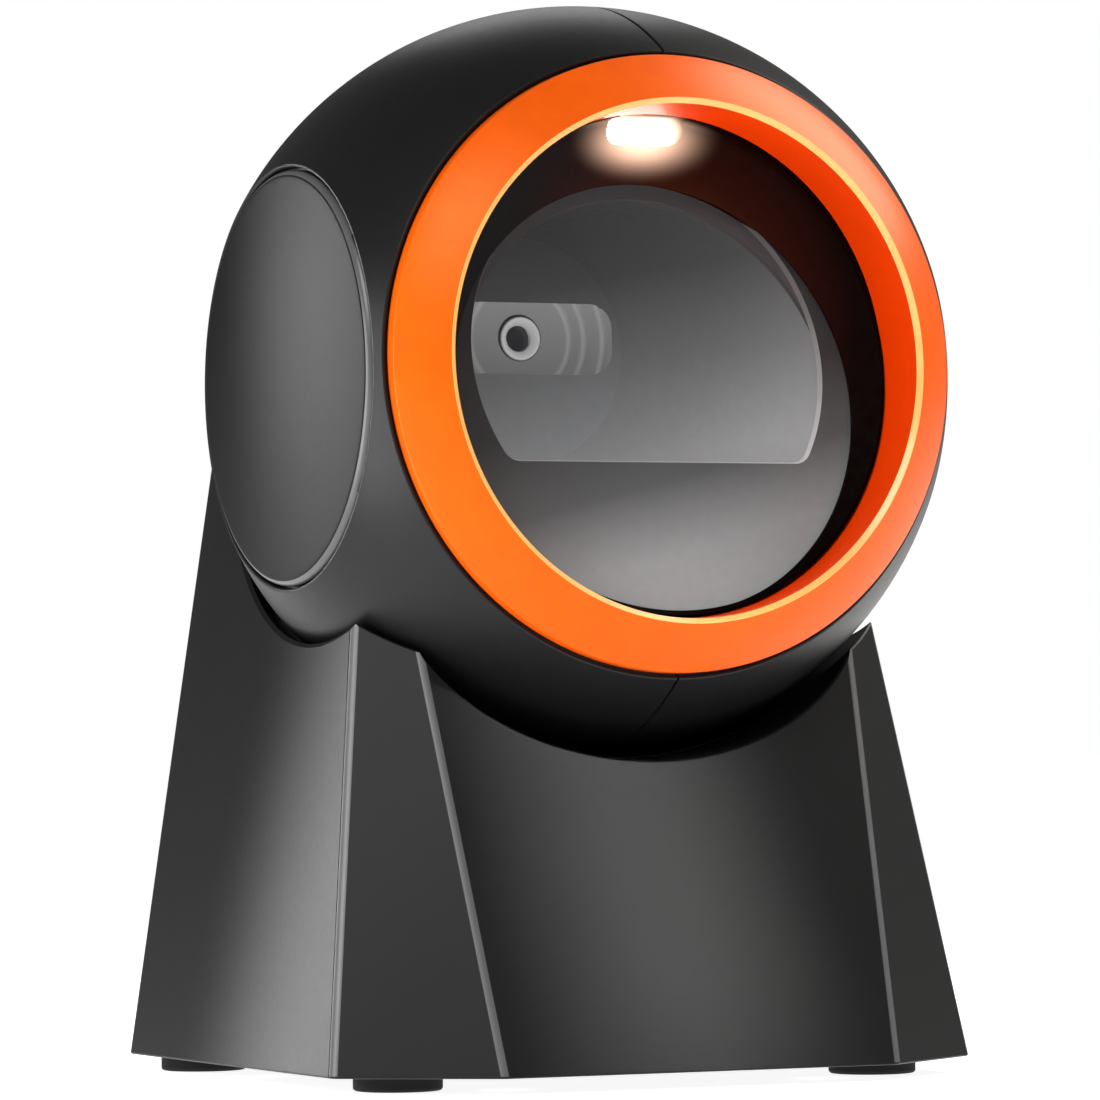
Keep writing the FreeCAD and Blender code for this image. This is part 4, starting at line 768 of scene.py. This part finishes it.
def bezel_ring():
    """The orange ring: a slightly domed face, a fine bevel and a near straight bore."""
    crest = Vector(RING_CREST)
    edge = Vector(RING_EDGE)
    middle = (crest + edge) / 2
    chord = edge - crest
    normal = Vector((-chord.y, chord.x)).normalized()
    if normal.y > 0:
        normal = -normal
    centre = middle + normal * math.sqrt(RING_FACE_CURVE ** 2 - (chord.length / 2) ** 2)
    start = math.degrees(math.atan2(*(crest - centre).yx))
    end = math.degrees(math.atan2(*(edge - centre).yx))
    face = arc(centre, RING_FACE_CURVE, start, end, 16)
    profile = rounded(
        [(RING_BORE_BACK, RING_BACK), (*RING_BORE_FRONT, 0.12), (*face[0], 0.12)] + face[2:-2]
        + [(*face[-1], 0.35), (RING_EDGE[0], RING_STEP[1], 0.2), RING_STEP,
           (RING_STEP[0], RING_BACK)])
    ring = lathe("ring", profile, HEAD @ FORWARD, RING_STEPS)
    ring.data.materials.append(made["bezel_orange"])
    # the bore takes the darker copy, painted shade
    paint(ring, (0, 1), bore_orange_shade, RING_STEPS)
    # the bevel and its rounded edges take the pale copy, a painted highlight
    paint(ring, (1, 10), bevel_orange_highlight, RING_STEPS)
    return shade(ring)


stand_for(bezel_ring(), "bezel_ring", "bezel_orange")


# -------------------------------------------------------------------- hood

def leaning(depth, lean):
    """A plane across the mouth of the head that leans back by an angle in degrees."""
    return Matrix.Translation((0, -depth, 0)) @ Matrix.Rotation(math.radians(-lean), 4, "X")


def plane_circle(plane, radius, drop, steps=288):
    loop = []
    for step in range(steps):
        angle = 2 * math.pi * step / steps
        loop.append(plane @ Vector((radius * math.cos(angle), 0, radius * math.sin(angle) - drop)))
    return loop


def cylinder_cut(plane, radius, steps=288):
    """Where a cylinder about the head's forward axis meets a leaning plane."""
    loop = []
    face = plane.to_3x3() @ Vector((0, -1, 0))
    for step in range(steps):
        angle = 2 * math.pi * step / steps
        point = Vector((radius * math.cos(angle), 0, radius * math.sin(angle)))
        loop.append(intersect_line_plane(point, point + Vector((0, -1, 0)),
                                         plane.translation, face))
    return loop


LAMP_HALF = 5.8
LAMP_LOW = 30.8
LAMP_HIGH = 34.6
LAMP_BEND = 1.8
# depth of the lens bar's face, and how far its outline is drawn in there
LAMP_LAYERS = ((18.8, 0.15), (19.9, 0.15), (20.25, 0.3), (20.5, 0.65), (20.6, 1.2))
WINDOW_DEPTH = 25.45
WINDOW_LEAN = 10
HOOD_BARREL = 35.9
HOOD_FLANGE = 38.8
HOOD_BORE = 34.5
HOOD_OPENING = 30.2
HOOD_OPENING_DROP = 4.2
HOOD_WINDOW_SEAT = 30.65
HOOD_WINDOW_DROP = 3.9
HOOD_STEPS = 7


def lamp_outline(inset):
    """The long rounded opening of the lamp, drawn in by an inset."""
    half = LAMP_HALF - inset
    low = LAMP_LOW + inset
    high = LAMP_HIGH - inset
    bend = LAMP_BEND - inset
    return rounded([(-half, low, bend), (half, low, bend), (half, high, bend),
                    (-half, high, bend)], 6)


def lamp_lens():
    """The frosted bar over the lamps, with a domed face."""
    loops = [[(x, -depth, z) for x, z in lamp_outline(inset)]
             for depth, inset in LAMP_LAYERS]
    return shade(rings("lens_bar", loops, HEAD, closed=False))


def between(first, last, share):
    return [a.lerp(b, share) for a, b in zip(first, last)]


def hood():
    """The dark funnel between the ring and the leaning scan window."""
    lip = leaning(28.2, 6)
    window = leaning(WINDOW_DEPTH, WINDOW_LEAN)
    behind = leaning(WINDOW_DEPTH - 0.4, WINDOW_LEAN)
    flange_front, flange_back, end = (leaning(depth, 0) for depth in (27.4, 25.4, 16))
    mouth = plane_circle(window, HOOD_OPENING, HOOD_OPENING_DROP)
    front = plane_circle(lip, 33.9, 0)
    bore = plane_circle(flange_front, HOOD_BORE, 0)
    loops = [between(cylinder_cut(lip, HOOD_BORE), bore, 0.25), cylinder_cut(lip, 34.3), front]
    loops += [between(front, mouth, step / HOOD_STEPS) for step in range(1, HOOD_STEPS)]
    loops += [between(front, mouth, 0.99), mouth]
    loops += [plane_circle(plane, radius, drop) for plane, radius, drop in (
        (behind, HOOD_OPENING + 0.05, HOOD_OPENING_DROP),
        (behind, HOOD_WINDOW_SEAT, HOOD_WINDOW_DROP),
        (end, HOOD_WINDOW_SEAT, HOOD_WINDOW_DROP),
        (end, HOOD_BARREL, 0),
        (flange_back, HOOD_BARREL, 0),
        (flange_back, HOOD_FLANGE, 0),
        (flange_front, HOOD_FLANGE, 0),
        (flange_front, HOOD_BORE, 0),
    )]
    shell = rings("hood", loops, HEAD)
    combine(shell, "DIFFERENCE", prism("niche", lamp_outline(0), 15, 40, HEAD @ FORWARD))
    return shade(shell)


stand_for(hood(), "window_hood", "hood_black")
stand_for(lamp_lens(), "lamp_lens", "lamp_white")


# -------------------------------------------------------- window and mask

WINDOW = HEAD @ leaning(WINDOW_DEPTH, WINDOW_LEAN)
WINDOW_FACE = WINDOW @ Matrix.Translation((0, 0, -HOOD_WINDOW_DROP)) @ FORWARD
WINDOW_RADIUS = 30.6
GLASS_THICK = 1.2
GLASS_BACK = -GLASS_THICK + 0.02
MASK_THICK = 0.8
MASK_BACK = -GLASS_THICK - MASK_THICK
MASK_SLOPE = 0.35
MASK_REACH = 0.2
D_RADIUS = 26.4
D_RISE = 1.3
D_FLOOR = -12.8
D_BEND = 2.6
D_CORNER = 3.6


def d_outline(grown):
    """A circle cut off by a level floor, with rounded corners."""
    radius = D_RADIUS + grown
    floor = D_FLOOR - grown
    start = math.degrees(math.asin((floor - D_RISE) / radius))
    half = radius * math.cos(math.radians(start))
    return rounded([(-half, floor, D_BEND), (half, floor, D_BEND)]
                   + arc((0, D_RISE), radius, start + D_CORNER, 180 - D_CORNER - start, 120), 8)


def window_mask():
    """The printed plate behind the glass; its opening has a sloping edge."""
    plate = lathe("mask", [(0, -GLASS_THICK), (WINDOW_RADIUS - 0.1, -GLASS_THICK),
                           (WINDOW_RADIUS, -GLASS_THICK - 0.1), (WINDOW_RADIUS, MASK_BACK),
                           (0, MASK_BACK)], WINDOW_FACE)
    widening = MASK_REACH * MASK_SLOPE / MASK_THICK
    levels = ((GLASS_THICK - MASK_REACH, MASK_SLOPE + widening),
              (GLASS_THICK + MASK_THICK + MASK_REACH, -widening))
    opening = rings("opening", [[(x, behind, z) for x, z in d_outline(grown)]
                                for behind, grown in levels], WINDOW, closed=False)
    for piece in (plate, opening):
        piece.data.materials.append(made["mask_grey"])
        # the opening's sloping edge takes the lighter copy, a painted highlight
        piece.data.materials.append(mask_edge_highlight)
    for face in opening.data.polygons:
        face.material_index = 1
    return shade(combine(plate, "DIFFERENCE", opening), 20)


def scan_window():
    """The clear round plate, with a fine chamfer on its front edge."""
    profile = [(0, 0), (WINDOW_RADIUS - 0.25, 0), (WINDOW_RADIUS, -0.25),
               (WINDOW_RADIUS, GLASS_BACK), (0, GLASS_BACK)]
    return shade(lathe("glass", profile, WINDOW_FACE, 256))


stand_for(window_mask(), "window_mask", "mask_grey")
stand_for(scan_window(), "scan_window", "window_glass")


# -------------------------------------------------------------------- base

FLOOR = 2.2
TOP = 90.0
MEET = 97.0
DISH = BALL_RADIUS + 1.2
WALL = 2.4
SKIN = 2.0
CORNERS = (
    # x and y at the bottom edge, then where the edges would meet
    ((29.7, -46.15), (35.3, -14.85)),
    ((48.8, -32.15), (35.3, -14.85)),
    ((47.0, 46.15), (34.0, 41.05)),
)


def base_outline(height):
    """The six outer corners of the base at a height."""
    share = (height - FLOOR) / (MEET - FLOOR)
    right = [Vector(low).lerp(Vector(high), share) for low, high in CORNERS]
    left = [Vector((-p.x, p.y)) for p in reversed(right)]
    return [Vector((p.x, p.y, height)) for p in right + left]


def wall_planes():
    """A point and the outward normal of each of the six walls."""
    low = base_outline(FLOOR)
    high = base_outline(TOP)
    planes = []
    for number in range(6):
        after = (number + 1) % 6
        normal = (low[after] - low[number]).cross(high[number] - low[number]).normalized()
        planes.append((low[number], normal))
    return planes


def hull(name, inset, low, high):
    """The solid inside the six walls, each moved inwards, between two heights."""
    planes = [(point - normal * inset, normal) for point, normal in wall_planes()]
    loops = []
    for height in (low, high):
        loop = []
        for number in range(6):
            (p, n), (q, m) = planes[number - 1], planes[number]
            rows = Matrix(((n.x, n.y), (m.x, m.y)))
            right = Vector((n.dot(p) - n.z * height, m.dot(q) - m.z * height))
            corner = rows.inverted() @ right
            loop.append((corner.x, corner.y, height))
        loops.append(loop)
    return rings(name, loops, PART, closed=False)


EDGE_ROUNDS = (0.58, 0.8, 2.2)
FOOT_ROUND = 0.35
LONG_EDGE = 20


def soften(obj, rounds, foot):
    """Round the long upright edges, each pair by its own radius, and the bottom edge.

    The two front pairs of upright edges take the second material, a lighter copy of the base
    plastic: a painted highlight along them that also stands for rubbing wear."""
    for material in (made["base_black"], rubbed_edge_highlight):
        obj.data.materials.append(material)
    shape = bmesh.new()
    shape.from_mesh(obj.data)
    for corner, radius in enumerate(rounds):
        upright = []
        for edge in shape.edges:
            low, high = sorted((v.co / MM for v in edge.verts), key=lambda p: p.z)
            if high.z - low.z < LONG_EDGE:
                continue
            spot = CORNERS[corner][0]
            if math.hypot(abs(low.x) - spot[0], low.y - spot[1]) < 0.6:
                upright.append(edge)
        bmesh.ops.bevel(shape, geom=upright, offset=radius * MM, offset_type="OFFSET",
                        segments=5 if corner else 3, profile=0.5, affect="EDGES",
                        material=1 if corner < 2 else 0)
    bottom = [e for e in shape.edges
              if all(abs(v.co.z / MM - FLOOR) < 0.01 for v in e.verts) and len(e.link_faces) == 2]
    bmesh.ops.bevel(shape, geom=bottom, offset=foot * MM, offset_type="OFFSET",
                    segments=3, profile=0.5, affect="EDGES")
    shape.to_mesh(obj.data)
    shape.free()
    return obj


LIP_ANGLES = (22, 44, 66)


def rim_cutter(name, point, normal, lip):
    """Rounds the edge where one wall meets the saddle, by the given radius."""
    away = (point - BALL).dot(normal)
    centre = BALL + normal * away
    inside = on_sphere(DISH, away)
    deep = on_sphere(DISH, away - lip)
    profile = [(0, -lip), (deep, -lip)]
    profile += [(inside + lip - lip * math.cos(t), -lip + lip * math.sin(t))
                for t in (math.radians(angle) for angle in LIP_ANGLES)]
    last = Vector(profile[-1])
    before = Vector(profile[-2])
    profile += [tuple(last + (last - before).normalized() * 3 * lip)]
    profile += [(0, profile[-1][1])]
    turn = normal.to_track_quat("Z", "Y").to_matrix().to_4x4()
    return lathe(name, profile, Matrix.Translation(centre) @ turn, 288)


RELIEF_HEIGHT = 69.2
RELIEF_HALF = 36.0
RELIEF_DROP = 25.0
RELIEF_BACK = -19.45
FRONT_WALL = 5
# the radius at the rim of each wall but the front one, which the relief cuts away
RIM_ROUNDS = (0.5, 1.3, 1.3, 1.3, 0.5)


def relief_cutter(name, lip, grown=0.0, steps=288):
    """The oval hollow in the middle of the front wall, with a flared mouth."""
    point, normal = wall_planes()[FRONT_WALL]

    def loop(extra, offset):
        points = []
        for step in range(steps):
            angle = 2 * math.pi * step / steps
            x = (RELIEF_HALF + grown + extra) * math.cos(angle)
            z = RELIEF_HEIGHT + (RELIEF_DROP + grown + extra) * math.sin(angle)
            y = RELIEF_BACK + grown
            if offset is not None:
                y = point.y + (normal.z * (point.z - z) + offset) / normal.y
            points.append((x, y, z))
        return points

    loops = [loop(0, None)]
    if lip:
        loops.append(loop(0, -lip))
        for angle in LIP_ANGLES:
            t = math.radians(angle)
            loops.append(loop(lip - lip * math.cos(t), -lip + lip * math.sin(t)))
        loops.append(loop(3.2 * lip, 0.9 * lip))
    loops.append([(x, -90, z) for x, _, z in loops[-1]])
    return rings(name, loops, PART, closed=False)


def ball_cutter(name, radius, steps, around):
    """A ball about the centre of the head, turned from a half circle."""
    half = [tuple(point) for point in arc((0, 0), radius, -90, 90, steps)]
    half[0] = (0, -radius)
    half[-1] = (0, radius)
    return lathe(name, half, Matrix.Translation(BALL), around)


def base_solid():
    """The base before it is hollowed: six walls, the saddle and their rounded rims."""
    body = soften(hull("base", 0, FLOOR, TOP), EDGE_ROUNDS, FOOT_ROUND)
    combine(body, "DIFFERENCE", ball_cutter("dish", DISH, 96, 288))
    combine(body, "DIFFERENCE", relief_cutter("relief", 0.45))
    for (point, normal), lip in zip(wall_planes(), RIM_ROUNDS):
        combine(body, "DIFFERENCE", rim_cutter("rim", point, normal, lip))
    return body


SEAM_BEHIND = 1.0
SEAM_GAP = 0.2
PORT_LOW = (-8.1, 36.9, 9.7)
PORT_HIGH = (8.1, 60, 23.5)
ZONE_FRONT = -90
ZONE_LOW = -10
ZONE_HIGH = 110
ZONE_HALF = 80


def base_shells():
    """The hollow base, parted into its front and rear shells."""
    body = base_solid()
    room = hull("room", WALL, FLOOR - 3, 60)
    combine(room, "DIFFERENCE", ball_cutter("skin", DISH + SKIN, 64, 192),
            relief_cutter("relief_skin", 0, SKIN))
    combine(body, "DIFFERENCE", room, box("port", PORT_LOW, PORT_HIGH))
    (_, start), (_, finish) = CORNERS[1]
    slope = (finish - start) / (MEET - FLOOR)

    def zone(name, shift):
        """All that is in front of the seam, as a prism along X."""
        seam = [(start + SEAM_BEHIND + shift + (height - FLOOR) * slope, height)
                for height in (ZONE_LOW, ZONE_HIGH)]
        side = [(ZONE_FRONT, ZONE_LOW), *seam, (ZONE_FRONT, ZONE_HIGH)]
        return prism(name, side, -ZONE_HALF, ZONE_HALF, ALONG_X)

    rear = bpy.data.objects.new("base_rear", body.data.copy())
    bpy.context.scene.collection.objects.link(rear)
    combine(body, "INTERSECT", zone("front_zone", 0))
    combine(rear, "DIFFERENCE", zone("rear_zone", SEAM_GAP))
    body.name = "base_front"
    for shell, node in ((body, "base_front_shell"), (rear, "base_rear_shell")):
        shade(shell, 28)
        stand_for(shell, node, "base_black")


base_shells()


# -------------------------------------------------------------------- feet

FOOT_PLACES = ((36.4, -26.15), (-36.4, -26.15), (38.5, 37.3), (-38.5, 37.3))


def feet():
    """Four stuck-on pads with rounded edges and a shallow hollow underneath."""
    profile = rounded([(0, 0.25), (4.6, 0.25, 0.2), (4.9, 0.0, 0.2), (6.1, 0.0, 0.5),
                       (6.1, 2.7, 0.1), (0, 2.7)])
    parts = [lathe("foot", profile, Matrix.Translation((across, along, 0)), 64)
             for across, along in FOOT_PLACES]
    whole = bmesh.new()
    for part in parts:
        whole.from_mesh(part.data)
    mesh = bpy.data.meshes.new("feet")
    whole.to_mesh(mesh)
    whole.free()
    for part in parts:
        bpy.data.objects.remove(part)
    obj = bpy.data.objects.new("feet", mesh)
    bpy.context.scene.collection.objects.link(obj)
    return shade(obj)


stand_for(feet(), "rubber_feet", "foot_rubber")


# ------------------------------------------------------------------ studio

WHITE = (1, 1, 1)
SKY = 0.13
BACKDROP = 1.0
FLOOR_GLOW = 0.9
FLOOR_REACH = 6000
# name, place, aim, width, height, watts, spread in degrees, colour
LIGHTS = (
    ("side_grid", (-145, 206, 94), (-48, -24, 72), 10, 190, 0.0016, 9, WHITE),
    ("front_grid", (174, -331, 240), (-4, -37, 36), 6, 80, 0.0020, 7, WHITE),
    ("left_near", (-152, -34, 78), (-45, -35, 84), 60, 125, 0.15, 180, WHITE),
    ("front_high", (-420, -500, 620), (0, -20, 80), 400, 400, 3.9, 180, WHITE),
    ("back_high", (220, 500, 470), (0, -10, 120), 220, 220, 0.28, 180, WHITE),
    ("right", (440, -65, 470), (20, -42, 125), 300, 380, 3.1, 180, (1.0, 0.95, 0.88)),
)


def studio():
    """A pale floor, soft lights, a dim sky to light by and a white one behind the picture."""
    world = bpy.data.worlds.new("studio")
    bpy.context.scene.world = world
    world.use_nodes = True
    tree = world.node_tree
    sky = tree.nodes["Background"]
    sky.inputs["Color"].default_value = (*WHITE, 1)
    sky.inputs["Strength"].default_value = SKY
    backdrop = tree.nodes.new("ShaderNodeBackground")
    backdrop.inputs["Color"].default_value = (*WHITE, 1)
    backdrop.inputs["Strength"].default_value = BACKDROP
    path = tree.nodes.new("ShaderNodeLightPath")
    mix = tree.nodes.new("ShaderNodeMixShader")
    tree.links.new(path.outputs["Is Camera Ray"], mix.inputs["Fac"])
    tree.links.new(sky.outputs["Background"], mix.inputs[1])
    tree.links.new(backdrop.outputs["Background"], mix.inputs[2])
    tree.links.new(mix.outputs["Shader"], tree.nodes["World Output"].inputs["Surface"])

    far = FLOOR_REACH
    ground = make_object("floor", [(-far, -far, 0), (far, -far, 0), (far, far, 0), (-far, far, 0)],
                         [(0, 1, 2, 3)])
    pale = Nodes("floor_pale")
    pale.colour(pale.blend(pale.noise(3, 3), (0.86, 0.86, 0.86), (0.9, 0.9, 0.9)))
    pale.put(Roughness=0.8, Emission_Color=(*WHITE, 1), Emission_Strength=FLOOR_GLOW)
    ground.data.materials.append(pale.material)

    for name, place, aim_at, width, height, power, spread, colour in LIGHTS:
        data = bpy.data.lights.new(name, "AREA")
        data.shape = "RECTANGLE"
        data.size = width * MM
        data.size_y = height * MM
        data.energy = power
        data.color = colour
        data.spread = math.radians(spread)
        light = bpy.data.objects.new(name, data)
        light.location = Vector(place) * MM
        toward = (Vector(aim_at) - Vector(place)).to_track_quat("-Z", "Y")
        light.rotation_mode = "QUATERNION"
        light.rotation_quaternion = toward
        light.visible_camera = False
        bpy.context.scene.collection.objects.link(light)


studio()
bpy.context.scene.view_settings.view_transform = "Standard"

bpy.context.view_layer.update()
